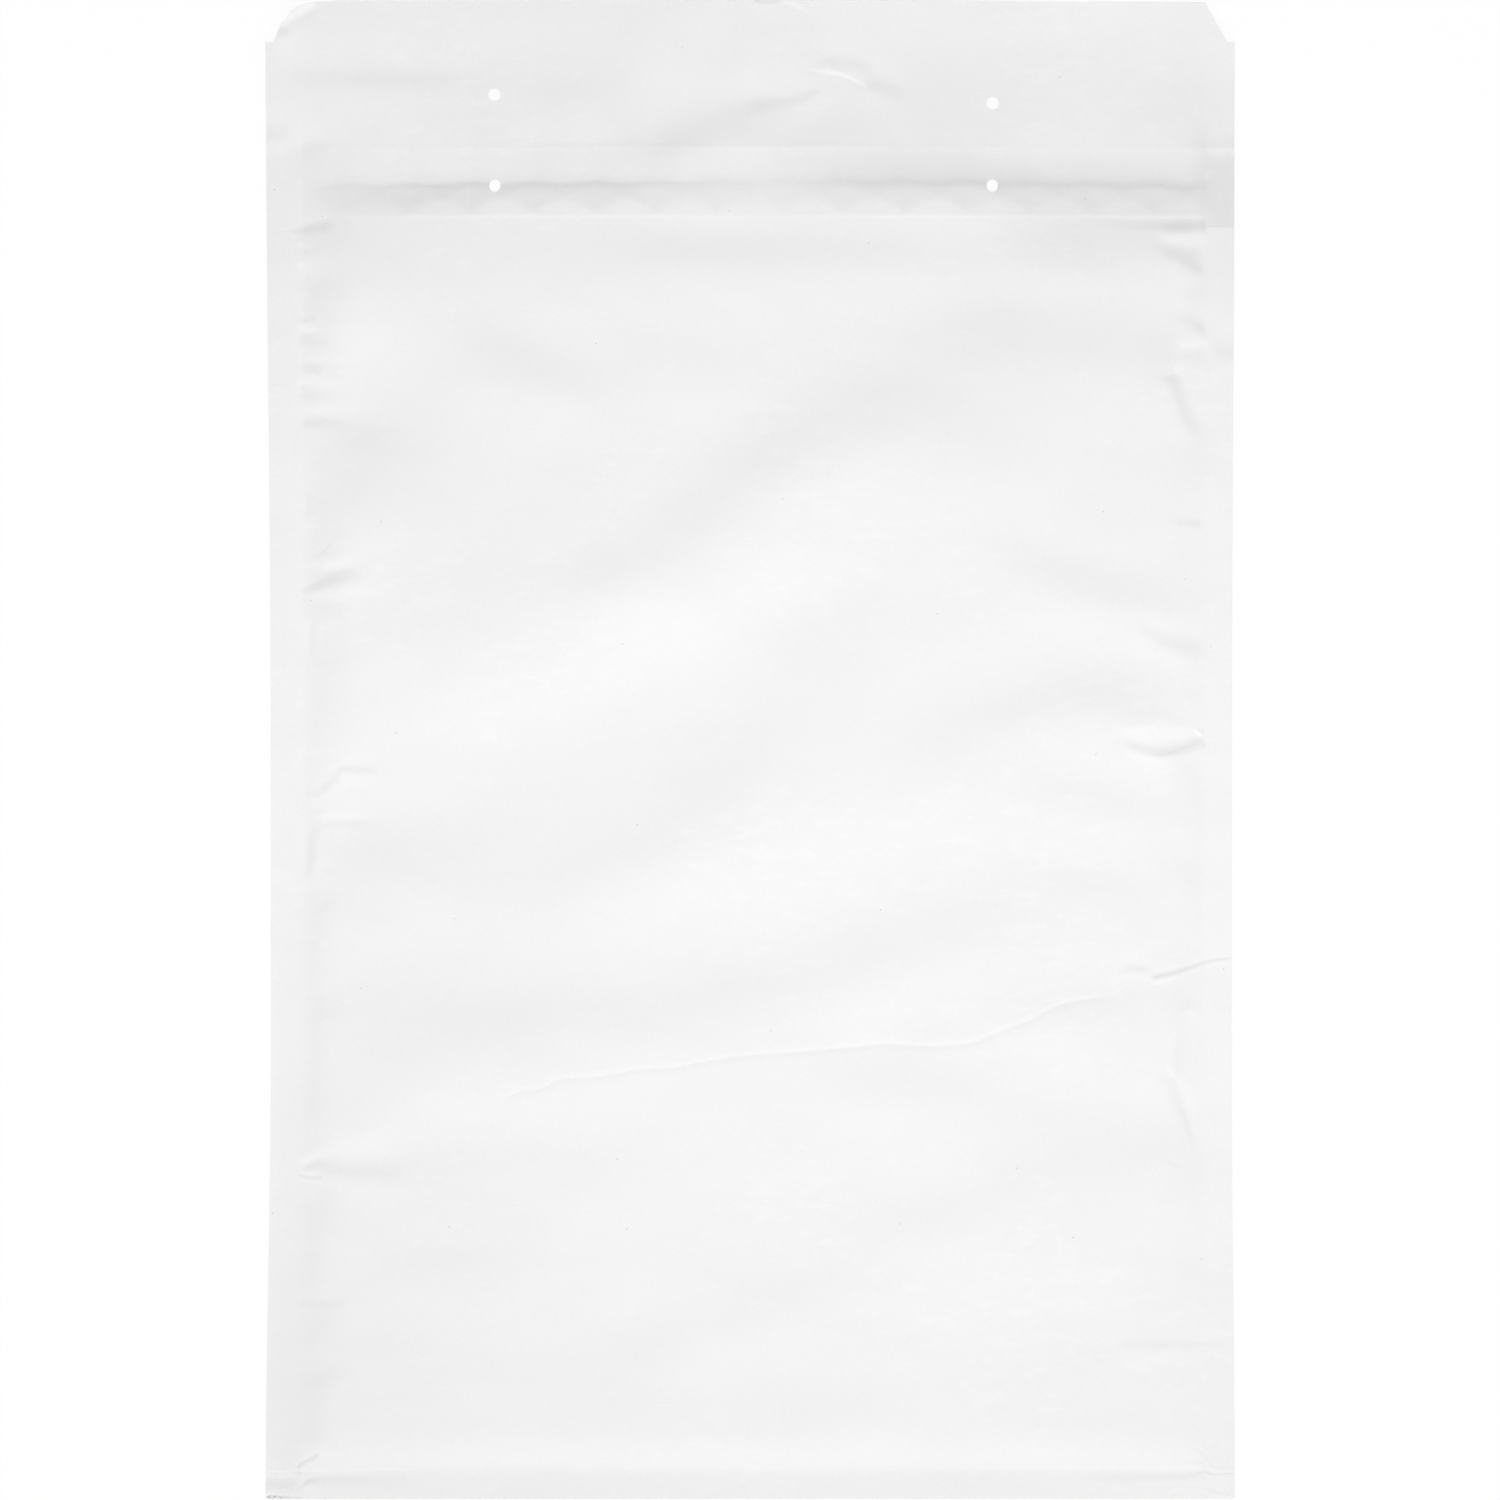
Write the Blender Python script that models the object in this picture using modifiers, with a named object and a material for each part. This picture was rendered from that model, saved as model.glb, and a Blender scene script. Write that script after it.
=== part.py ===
"""Padded envelope with its flap opened out flat: paper, bubble film lining, adhesive strip and release liner.

Metres, +Z up. The envelope lies on its back panel at Z = 0 with the address side up, X across its width
and +Y from the bottom fold to the flap. The origin is under the middle of the whole length. Inside the
functions, v is the distance from the bottom fold, so Y = v - LENGTH / 2.
"""

import math
from collections import namedtuple

import bmesh
import bpy

# Overall sizes of the folded sheet
WIDTH = 0.320
BODY_LENGTH = 0.447  # bottom fold to flap crease
FLAP_LENGTH = 0.0485
BACK_SHORTFALL = 0.004  # the back panel ends this far below the crease
PAPER = 0.0002
FOLD_RADIUS = 0.0002  # of the sheet's middle at the bottom fold
RIM_HEIGHT = 0.0022  # of the seams and the bottom fold above the table

# Seams and the bottom band, where no film lies between the plies
LEFT_SEAM = 0.0120
RIGHT_SEAM = 0.0093
BOTTOM_BAND = 0.0090
BOND_MARGIN = 0.0001  # the glue stays this far inside the seam's outer edges

# Bubble film pouch
FILM = 0.0027
POUCH_GAP = 0.0054  # free height between the two walls of film
FILM_SETBACK = 0.0129  # film edge below the flap crease
FILM_INSET = 0.0030  # film edge inside the seams and the bottom band
FILM_WELD = 0.0060  # width of the film's own welded rim
CLEARANCE = 0.0003

# Shape of the filled-out front and back
SHOULDER_RUN = 0.0180  # from the seams to the full thickness of the film
SWELL_RUN = 0.0800  # from the seams to the full height of the pouch
BACK_RUN = 0.0300  # from the seams to the part of the back that lies flat
CREST_SETBACK = 0.0100  # the front starts to fall this far before the film edge
MOUTH_DROP = 0.0026  # from the crest down to the bare paper at the mouth
STEP_SHARE = 0.6  # of the drop that is reached at the film edge

# Flap
CREASE_LIFT = 0.0006
CREASE_RUN = 0.0030
FLAP_DROOP = 0.0003
FLAP_ARCH = 0.0024  # the flap's middle above its side edges at the free edge
CORNER_STEP = 0.0030
CORNER_RUN = 0.0068
CORNER_DEPTH = 0.0131
LEFT_CORNER_RADIUS = 0.0050
CURL_LIFT = 0.0022  # the left corner of the flap curls up
CURL_REACH = 0.0160

# Punched holes, by distance from the crease and from the middle of the width
HOLE_DIAMETER = 0.0042
LEFT_HOLE_X = -0.0845
RIGHT_HOLE_X = 0.0802
LEFT_FLAP_HOLE = 0.0173
RIGHT_FLAP_HOLE = 0.0146
BODY_HOLE = 0.0127

# Adhesive strip and its liner on the inner face of the flap
ADHESIVE = 0.00015
ADHESIVE_WIDTH = 0.0150
LINER = 0.00010
LINER_WIDTH = 0.0200
STRIP_INSET = 0.0040  # from the flap's free edge
STRIP_END_INSET = 0.0150  # from the sides of the envelope

# Spacing of the mesh and reach of the cutters
CELL = 0.0170
BACK_CELL = 0.0500
OVERSHOOT = 0.0100
HOLE_SIDES = 24
FOLD_STEPS = 4
ARC_STEPS = 6
FALL_SHARES = (0.0, 0.5, 0.8, 1.0)  # of the way from the crest to the film edge
BARE_SHARES = (0.25, 0.5)  # of the way from the film edge to the crease
TINY = 1e-6

LENGTH = BODY_LENGTH + FLAP_LENGTH
LEFT_LINE = LEFT_SEAM - WIDTH / 2
RIGHT_LINE = WIDTH / 2 - RIGHT_SEAM
BACK_EDGE = BODY_LENGTH - BACK_SHORTFALL
FILM_EDGE = BODY_LENGTH - FILM_SETBACK
CREST = FILM_EDGE - CREST_SETBACK
FULL_HEIGHT = PAPER + 2 * CLEARANCE + 2 * FILM + PAPER / 2  # of the front over two touching walls of film
SHOULDER_RISE = FULL_HEIGHT - RIM_HEIGHT - FOLD_RADIUS

# Soft folds that cross the front, from one end to the other as (x, v)
Fold = namedtuple("Fold", "start end half_width height")
FOLDS = (
    Fold((-0.089, 0.277), (0.033, 0.340), 0.015, 0.0010),
    Fold((-0.063, 0.198), (0.032, 0.260), 0.015, 0.0010),
    Fold((0.062, 0.241), (0.109, 0.244), 0.014, 0.0010),
    Fold((-0.050, 0.148), (0.132, 0.191), 0.016, 0.0010),
    Fold((0.056, 0.286), (0.130, 0.297), 0.014, 0.0008),
    Fold((-0.120, 0.110), (-0.060, 0.125), 0.014, 0.0007),
)


def smooth(t):
    """Eased step from 0 at t = 0 to 1 at t = 1."""
    t = min(max(t, 0.0), 1.0)
    return t * t * (3 - 2 * t)


def bulge(t):
    """Parabola from 0 at t = 0 to its top of 1 at t = 1."""
    t = min(max(t, 0.0), 1.0)
    return 1 - (1 - t) ** 2


def inside_seams(x, v):
    """Distance inwards from the nearest side seam or the bottom band."""
    return min(x - LEFT_LINE, RIGHT_LINE - x, v - BOTTOM_BAND)


def fold_lift(x, v):
    """Height of the soft folds: a rounded ridge along each line that fades out past its ends."""
    total = 0.0
    for fold in FOLDS:
        run_x = fold.end[0] - fold.start[0]
        run_v = fold.end[1] - fold.start[1]
        square = run_x**2 + run_v**2
        along = ((x - fold.start[0]) * run_x + (v - fold.start[1]) * run_v) / square
        along = min(max(along, 0.0), 1.0)
        away = math.hypot(x - fold.start[0] - along * run_x, v - fold.start[1] - along * run_v)
        total += fold.height * smooth(1 - away / (2 * fold.half_width))
    return total * smooth(inside_seams(x, v) / SWELL_RUN)


def mouth_fall(v):
    """Share of the mouth's drop: steepest at the film edge, then easing out onto the bare paper."""
    if v <= CREST:
        return 0.0
    if v <= FILM_EDGE:
        return STEP_SHARE * ((v - CREST) / CREST_SETBACK) ** 2
    ease_out = CREST_SETBACK * (1 - STEP_SHARE) / (2 * STEP_SHARE)
    return 1 - (1 - STEP_SHARE) * math.exp(-(v - FILM_EDGE) / ease_out)


def pouch_rise(x, v):
    """Free height inside the pouch."""
    return POUCH_GAP * bulge(inside_seams(x, v) / SWELL_RUN) + fold_lift(x, v)


def body_height(x, v):
    """Middle of the front ply, from the bottom fold to the crease."""
    rise = SHOULDER_RISE * bulge(inside_seams(x, v) / SHOULDER_RUN) + pouch_rise(x, v)
    keep = 1 - mouth_fall(v) * MOUTH_DROP / (SHOULDER_RISE + POUCH_GAP)
    ridge = CREASE_LIFT * max(0.0, 1 - (BODY_LENGTH - v) / CREASE_RUN)
    return RIM_HEIGHT + FOLD_RADIUS + rise * keep + ridge


def flap_height(x, v):
    """Middle of the flap, which flattens out from the crease to its free edge."""
    share = (v - BODY_LENGTH) / FLAP_LENGTH
    crease = body_height(x, BODY_LENGTH) - CREASE_LIFT
    end = body_height(0.0, BODY_LENGTH) - CREASE_LIFT - FLAP_DROOP - FLAP_ARCH * (2 * x / WIDTH) ** 2
    ridge = CREASE_LIFT * max(0.0, 1 - (v - BODY_LENGTH) / CREASE_RUN)
    corner = math.hypot(x + WIDTH / 2, LENGTH - v)
    curl = CURL_LIFT * (1 - min(corner / CURL_REACH, 1.0)) ** 2
    return crease + (end - crease) * share + ridge + curl


def front_height(x, v):
    """Middle of the front ply or the flap."""
    return body_height(x, v) if v <= BODY_LENGTH else flap_height(x, v)


def back_height(x, v):
    """Middle of the back ply, which lies flat inside its turned-up rim."""
    rim = RIM_HEIGHT - FOLD_RADIUS
    return rim - (rim - PAPER / 2) * smooth(inside_seams(x, v) / BACK_RUN)


def film_top(x, v):
    """Outer face of the lining's front wall."""
    return body_height(x, v) - PAPER / 2 - CLEARANCE


def film_bottom(x, v):
    """Outer face of the lining's back wall."""
    return back_height(x, v) + PAPER / 2 + CLEARANCE


def film_wall(x, v):
    """Thickness of one wall, squeezed where the paper closes on it."""
    return (film_top(x, v) - film_bottom(x, v) - pouch_rise(x, v)) / 2


def cavity_top(x, v):
    """Inner face of the lining's front wall, carried straight on past the film edge."""
    at = min(v, FILM_EDGE)
    return film_top(x, at) - film_wall(x, at)


def cavity_bottom(x, v):
    """Inner face of the lining's back wall, carried straight on past the film edge."""
    at = min(v, FILM_EDGE)
    return film_bottom(x, at) + film_wall(x, at)


def stations(*stops, cell=CELL):
    """Positions from the first stop to the last, on every stop and no further apart than a cell."""
    places = [stops[0]]
    for start, end in zip(stops, stops[1:]):
        count = max(1, math.ceil((end - start) / cell - 1e-6))
        places += [start + (end - start) * n / count for n in range(1, count + 1)]
    return places


def rim_steps():
    """Distances from the seams and the bottom band that get a line of points, on the paper and the film alike."""
    weld = FILM_INSET + FILM_WELD
    return sorted([0.0, FILM_INSET, FILM_INSET + FILM_WELD / 2, weld, SHOULDER_RUN, BACK_RUN])


def across(inset=0.0):
    """X stations that lie at least this far inside the side seams."""
    left = [LEFT_LINE + step for step in rim_steps()]
    right = [RIGHT_LINE - step for step in reversed(rim_steps())]
    lines = stations(*left, *right)
    return [x for x in lines if min(x - LEFT_LINE, RIGHT_LINE - x) > inset - TINY]


def along(inset=0.0):
    """V stations from at least this far above the bottom band up to the film edge."""
    fall = [CREST + CREST_SETBACK * share for share in FALL_SHARES]
    lines = stations(*[BOTTOM_BAND + step for step in rim_steps()], *fall)
    return [v for v in lines if v > BOTTOM_BAND + inset - TINY]


def collection(name):
    """A new collection in the scene."""
    made = bpy.data.collections.new(name)
    bpy.context.scene.collection.children.link(made)
    return made


def finish(name, colour, roughness, transmission=0.0):
    """A plain material with the piece's colour and sheen."""
    material = bpy.data.materials.new(name)
    material.use_nodes = True
    shader = material.node_tree.nodes["Principled BSDF"]
    shader.inputs["Base Color"].default_value = (*colour, 1.0)
    shader.inputs["Roughness"].default_value = roughness
    shader.inputs["Metallic"].default_value = 0.0
    shader.inputs["Transmission Weight"].default_value = transmission
    material.diffuse_color = (*colour, 1.0)
    return material


def to_object(bm, name, home, material=None):
    """An object in a collection from a bmesh."""
    mesh = bpy.data.meshes.new(name)
    bm.to_mesh(mesh)
    bm.free()
    made = bpy.data.objects.new(name, mesh)
    home.objects.link(made)
    if material:
        mesh.materials.append(material)
    return made


def triangulate(bm):
    """Split every face along its shorter diagonal, so that neighbouring pieces get the same facets."""
    bmesh.ops.triangulate(bm, faces=bm.faces[:], quad_method="SHORT_EDGE")


def grid(columns, rows, place):
    """A grid whose points place(column, row) puts in space."""
    bm = bmesh.new()
    bmesh.ops.create_grid(bm, x_segments=len(columns) - 1, y_segments=len(rows) - 1, size=1.0)
    for vertex in bm.verts:
        column = columns[round((vertex.co.x + 1) / 2 * (len(columns) - 1))]
        row = rows[round((vertex.co.y + 1) / 2 * (len(rows) - 1))]
        vertex.co = place(column, row)
    return bm


def slab(name, home, xs, vs, bottom, top, material=None):
    """A closed slab between two heights given as functions of x and v."""
    bm = grid(xs, vs, lambda x, v: (x, v - LENGTH / 2, bottom(x, v)))
    extruded = bmesh.ops.extrude_face_region(bm, geom=bm.faces[:])["geom"]
    for vertex in (item for item in extruded if isinstance(item, bmesh.types.BMVert)):
        x, y, _ = vertex.co
        vertex.co.z = top(x, y + LENGTH / 2)
    triangulate(bm)
    bmesh.ops.recalc_face_normals(bm, faces=bm.faces[:])
    return to_object(bm, name, home, material)


def thicken(made, thickness):
    """Give an open surface its thickness, half to each side."""
    solidify = made.modifiers.new("thickness", "SOLIDIFY")
    solidify.thickness = thickness
    solidify.offset = 0.0
    solidify.use_even_offset = True


def combine(made, operation, other):
    """Cut another object out of this one, or join it on."""
    boolean = made.modifiers.new(f"{operation.lower()} {other.name}", "BOOLEAN")
    boolean.operation = operation
    boolean.solver = "EXACT"
    boolean.object = other


def hide_guide(made):
    """Show a cutter or an added body as wire only."""
    made.hide_render = True
    made.display_type = "WIRE"


def sheet_point(x, s):
    """Where a point of the flat sheet goes, with s measured down the sheet from the flap's free edge."""
    front = LENGTH - FOLD_RADIUS
    turn = (s - front) / FOLD_RADIUS
    if turn <= 0:
        v = LENGTH - s
        return (x, v - LENGTH / 2, front_height(x, v))
    if turn < math.pi:
        v = FOLD_RADIUS * (1 - math.sin(turn))
        return (x, v - LENGTH / 2, RIM_HEIGHT + FOLD_RADIUS * math.cos(turn))
    v = FOLD_RADIUS + s - front - math.pi * FOLD_RADIUS
    return (x, v - LENGTH / 2, back_height(x, v))


def sheet_rows():
    """Stations down the flat sheet: the flap and front, the bottom fold, then the back."""
    front = LENGTH - FOLD_RADIUS
    flap = [BODY_LENGTH + CREASE_RUN, LENGTH - CORNER_DEPTH, LENGTH]
    bare = [FILM_EDGE + FILM_SETBACK * share for share in BARE_SHARES]
    crease = [BODY_LENGTH - CREASE_RUN, BODY_LENGTH]
    v_front = [FOLD_RADIUS] + along() + bare + crease + stations(*flap)
    rows = [LENGTH - v for v in reversed(v_front)]
    rows += [front + math.pi * FOLD_RADIUS * n / FOLD_STEPS for n in range(1, FOLD_STEPS)]
    back_start = front + math.pi * FOLD_RADIUS - FOLD_RADIUS
    turned_up = [v for v in along() if v < BOTTOM_BAND + BACK_RUN - TINY]
    v_back = stations(BOTTOM_BAND + BACK_RUN, BACK_EDGE, cell=BACK_CELL)
    return rows + [back_start + v for v in [FOLD_RADIUS] + turned_up + v_back]


def seam_bond(name, home, inner, outer):
    """The glue line between the plies of one side seam, reaching to the middle of each ply."""
    bm = bmesh.new()
    bmesh.ops.create_cube(bm, size=1.0)
    start = FOLD_RADIUS + BOND_MARGIN
    size = (abs(outer - inner), BACK_EDGE - BOND_MARGIN - start, 2 * FOLD_RADIUS)
    bmesh.ops.scale(bm, vec=size, verts=bm.verts)
    middle = ((inner + outer) / 2, (start + BACK_EDGE - BOND_MARGIN - LENGTH) / 2, RIM_HEIGHT)
    bmesh.ops.translate(bm, vec=middle, verts=bm.verts)
    bond = to_object(bm, name, home)
    hide_guide(bond)
    return bond


def round_cutter(name, home, x, v):
    """A punch for one hole."""
    bm = bmesh.new()
    radius = HOLE_DIAMETER / 2
    height = 2 * (body_height(0.0, CREST) + OVERSHOOT)
    bmesh.ops.create_cone(
        bm, cap_ends=True, segments=HOLE_SIDES, radius1=radius, radius2=radius, depth=height
    )
    bmesh.ops.translate(bm, vec=(x, v - LENGTH / 2, 0.0), verts=bm.verts)
    punch = to_object(bm, name, home)
    hide_guide(punch)
    return punch


def corner_outline(radius):
    """Outline to cut from the right corner of the flap as (x, v), rounded where it meets the free edge."""
    inner = WIDTH / 2 - CORNER_STEP
    step_v = LENGTH - CORNER_DEPTH
    tip_x = inner - CORNER_RUN
    slant = math.atan2(CORNER_DEPTH, CORNER_RUN)
    points = [(WIDTH / 2 + OVERSHOOT, step_v), (inner, step_v)]
    if radius:
        reach = radius * math.tan(slant / 2)
        for n in range(ARC_STEPS + 1):
            angle = slant * (1 - n / ARC_STEPS)
            x = tip_x - reach + radius * math.sin(angle)
            points.append((x, LENGTH - radius + radius * math.cos(angle)))
        points.append((tip_x - reach, LENGTH + OVERSHOOT))
    else:
        over = OVERSHOOT * CORNER_RUN / CORNER_DEPTH
        points.append((tip_x - over, LENGTH + OVERSHOOT))
    return points + [(WIDTH / 2 + OVERSHOOT, LENGTH + OVERSHOOT)]


def corner_cutter(name, home, side, radius=0.0):
    """A knife for one corner of the flap: side is 1 on the right and -1 on the left."""
    curve = bpy.data.curves.new(name, "CURVE")
    curve.dimensions = "2D"
    curve.fill_mode = "BOTH"
    curve.extrude = body_height(0.0, CREST) + OVERSHOOT
    outline = corner_outline(radius)
    spline = curve.splines.new("POLY")
    spline.points.add(len(outline) - 1)
    for point, (x, v) in zip(spline.points, outline):
        point.co = (side * x, v - LENGTH / 2, 0.0, 1.0)
    spline.use_cyclic_u = True
    drawn = bpy.data.objects.new(f"{name}_outline", curve)
    home.objects.link(drawn)
    mesh = bpy.data.meshes.new_from_object(drawn.evaluated_get(bpy.context.evaluated_depsgraph_get()))
    bm = bmesh.new()
    bm.from_mesh(mesh)
    bmesh.ops.remove_doubles(bm, verts=bm.verts, dist=1e-6)
    bmesh.ops.recalc_face_normals(bm, faces=bm.faces[:])
    knife = to_object(bm, name, home)
    knife.matrix_world = drawn.matrix_world
    bpy.data.objects.remove(drawn)
    bpy.data.meshes.remove(mesh)
    hide_guide(knife)
    return knife


def paper_envelope(home, guides, punches):
    """The folded sheet with its glued seams, cut corners and punched holes."""
    columns = [-WIDTH / 2] + across() + [WIDTH / 2]
    bm = grid(columns, sheet_rows(), sheet_point)
    triangulate(bm)
    paper = finish("white kraft paper", (0.87, 0.87, 0.86), 0.75)
    made = to_object(bm, "paper_envelope", home, paper)
    thicken(made, PAPER)
    combine(made, "UNION", seam_bond("left_bond", guides, LEFT_LINE, BOND_MARGIN - WIDTH / 2))
    combine(made, "UNION", seam_bond("right_bond", guides, RIGHT_LINE, WIDTH / 2 - BOND_MARGIN))
    combine(made, "DIFFERENCE", corner_cutter("left_corner", guides, -1, LEFT_CORNER_RADIUS))
    combine(made, "DIFFERENCE", corner_cutter("right_corner", guides, 1))
    for punch in punches:
        combine(made, "DIFFERENCE", punch)
    return made


def bubble_lining(home, guides, punches):
    """The film pouch: two walls joined at the bottom and both sides, open at the mouth."""
    film = finish("clear polyethylene film", (0.90, 0.92, 0.93), 0.25, transmission=0.5)
    xs = across(FILM_INSET)
    vs = along(FILM_INSET)
    made = slab("bubble_lining", home, xs, vs, film_bottom, film_top, film)
    rim = FILM_INSET + FILM_WELD
    xs = across(rim)
    vs = along(rim) + [FILM_EDGE + OVERSHOOT]
    cavity = slab("pouch_space", guides, xs, vs, cavity_bottom, cavity_top)
    hide_guide(cavity)
    combine(made, "DIFFERENCE", cavity)
    for punch in punches:
        combine(made, "DIFFERENCE", punch)
    return made


def flap_strip(name, home, material, width, thickness, depth):
    """A thin strip along the flap's inner face, its outer edge at the strip inset, at a depth below the paper."""
    end = WIDTH / 2 - STRIP_END_INSET
    far = LENGTH - STRIP_INSET

    def place(x, v):
        return (x, v - LENGTH / 2, flap_height(x, v) - PAPER / 2 - depth - thickness / 2)

    columns = [-end] + [x for x in across() if abs(x) < end - TINY] + [end]
    bm = grid(columns, [far - width, far - width / 2, far], place)
    triangulate(bm)
    made = to_object(bm, name, home, material)
    thicken(made, thickness)
    return made


def build():
    """Make every piece of the envelope."""
    for old in list(bpy.data.objects):
        bpy.data.objects.remove(old)
    home = collection("padded_envelope")
    guides = collection("cutters")
    body_punches = [
        round_cutter("left_body_punch", guides, LEFT_HOLE_X, BODY_LENGTH - BODY_HOLE),
        round_cutter("right_body_punch", guides, RIGHT_HOLE_X, BODY_LENGTH - BODY_HOLE),
    ]
    flap_punches = [
        round_cutter("left_flap_punch", guides, LEFT_HOLE_X, BODY_LENGTH + LEFT_FLAP_HOLE),
        round_cutter("right_flap_punch", guides, RIGHT_HOLE_X, BODY_LENGTH + RIGHT_FLAP_HOLE),
    ]
    paper_envelope(home, guides, body_punches + flap_punches)
    bubble_lining(home, guides, body_punches)
    glue = finish("hot-melt adhesive", (0.86, 0.80, 0.66), 0.35)
    flap_strip("adhesive_strip", home, glue, ADHESIVE_WIDTH, ADHESIVE, CLEARANCE)
    liner = finish("silicone-coated liner", (0.93, 0.92, 0.88), 0.4)
    flap_strip("release_liner", home, liner, LINER_WIDTH, LINER, 2 * CLEARANCE + ADHESIVE)


build()
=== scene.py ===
"""Looks of a white padded envelope that lies on its back with the flap opened out flat.

Metres, +Z up, X across the envelope and +Y from the bottom fold to the flap. In the sizes and the functions,
v is the distance from the bottom fold, so that Y = v - length / 2, and q is the distance from that fold along
a sheet that is unfolded flat: positive up the front and negative up the back. Routes of wrinkles are in
millimetres.
"""

import logging
import math
from collections.abc import Callable
from dataclasses import dataclass, field
from enum import Enum
from functools import partial

import bpy
import numpy as np
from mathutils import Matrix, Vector
from mathutils.geometry import delaunay_2d_cdt


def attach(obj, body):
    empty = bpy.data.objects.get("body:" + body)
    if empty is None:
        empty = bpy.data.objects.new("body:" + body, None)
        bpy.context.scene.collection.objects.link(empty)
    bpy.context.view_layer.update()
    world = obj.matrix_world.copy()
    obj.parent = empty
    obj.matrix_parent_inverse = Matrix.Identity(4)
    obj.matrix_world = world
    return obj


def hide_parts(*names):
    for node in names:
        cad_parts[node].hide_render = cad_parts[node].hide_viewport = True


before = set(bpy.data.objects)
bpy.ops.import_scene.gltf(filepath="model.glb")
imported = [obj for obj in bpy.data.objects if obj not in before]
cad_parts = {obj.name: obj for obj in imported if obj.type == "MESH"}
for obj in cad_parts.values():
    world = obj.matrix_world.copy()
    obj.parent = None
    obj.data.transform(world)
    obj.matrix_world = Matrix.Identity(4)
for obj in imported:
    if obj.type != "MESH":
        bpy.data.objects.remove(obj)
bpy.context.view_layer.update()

MM = 0.001
LOG = logging.getLogger("padded_envelope")

# Sockets of a colour Mix node, which have no names of their own
FACTOR, FIRST_COLOUR, SECOND_COLOUR, MIXED = 0, 6, 7, 2

# Radians by which Blender's wave texture turns in one unit
WAVE_RADIANS = 20

# Offsets to a place itself, to the four beside it and to the four at its corners
AROUND = ((0, 0), (1, 0), (-1, 0), (0, 1), (0, -1), (1, 1), (-1, 1), (1, -1), (-1, -1))

# Cell sizes given to single points, round the sheet's bottom fold and on the bubbles
POINT_CELL = 0.0001
BUBBLE_CELL = 0.0005

Array = np.ndarray
Place = Callable[[Array, Array], Array]
Point = tuple[float, float, float]
Socket = bpy.types.NodeSocket
Tree = bpy.types.NodeTree


def smooth(t: Array) -> Array:
    """Eased step from 0 at t = 0 to 1 at t = 1."""
    t = np.clip(t, 0.0, 1.0)
    return t * t * (3 - 2 * t)


def bulge(t: Array) -> Array:
    """Parabola from 0 at t = 0 to its top of 1 at t = 1."""
    return 1 - (1 - np.clip(t, 0.0, 1.0)) ** 2


def bell(t: Array) -> Array:
    """Rounded hump that is 1 at t = 0 and nearly nothing past t = 2."""
    return np.exp(-t * t)


def linear(colour: str) -> tuple[float, float, float, float]:
    """Turn an sRGB hex colour to Blender's linear values.

    Args:
        colour: The colour as a hash sign and six hex digits.

    Returns:
        Red, green, blue and an alpha of 1.
    """
    channels = [int(colour[n : n + 2], 16) / 255 for n in (1, 3, 5)]
    red, green, blue = [c / 12.92 if c <= 0.04045 else ((c + 0.055) / 1.055) ** 2.4 for c in channels]
    return red, green, blue, 1.0


@dataclass(frozen=True)
class Zone:
    """A place along one direction, and the distance over which something changes there.

    Attributes:
        start: The place.
        run: The distance. A negative one runs the other way.
    """

    start: float
    run: float

    def step(self, place: Array) -> Array:
        """Eased step from 0 at the start to 1 at the end of the run."""
        return smooth((place - self.start) / self.run)

    def hump(self, place: Array) -> Array:
        """Rounded hump of 1 at the start that has died out at twice the run."""
        return bell((place - self.start) / self.run)


class Crest(Enum):
    """How the paper bends across a wrinkle."""

    RIDGE = "one rounded rise"
    ROLL = "up on the left of the route and down on its right"


# Distance from a wrinkle's line past which it lifts nothing, in half widths
REACH = {Crest.RIDGE: 2.6, Crest.ROLL: 3.4}

# Largest distance that is counted across a roll, in half widths
ROLL_LIMIT = 4

# Points of the smooth curve from each point of a route to the next, with both ends
CURVE_POINTS = 9


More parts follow.
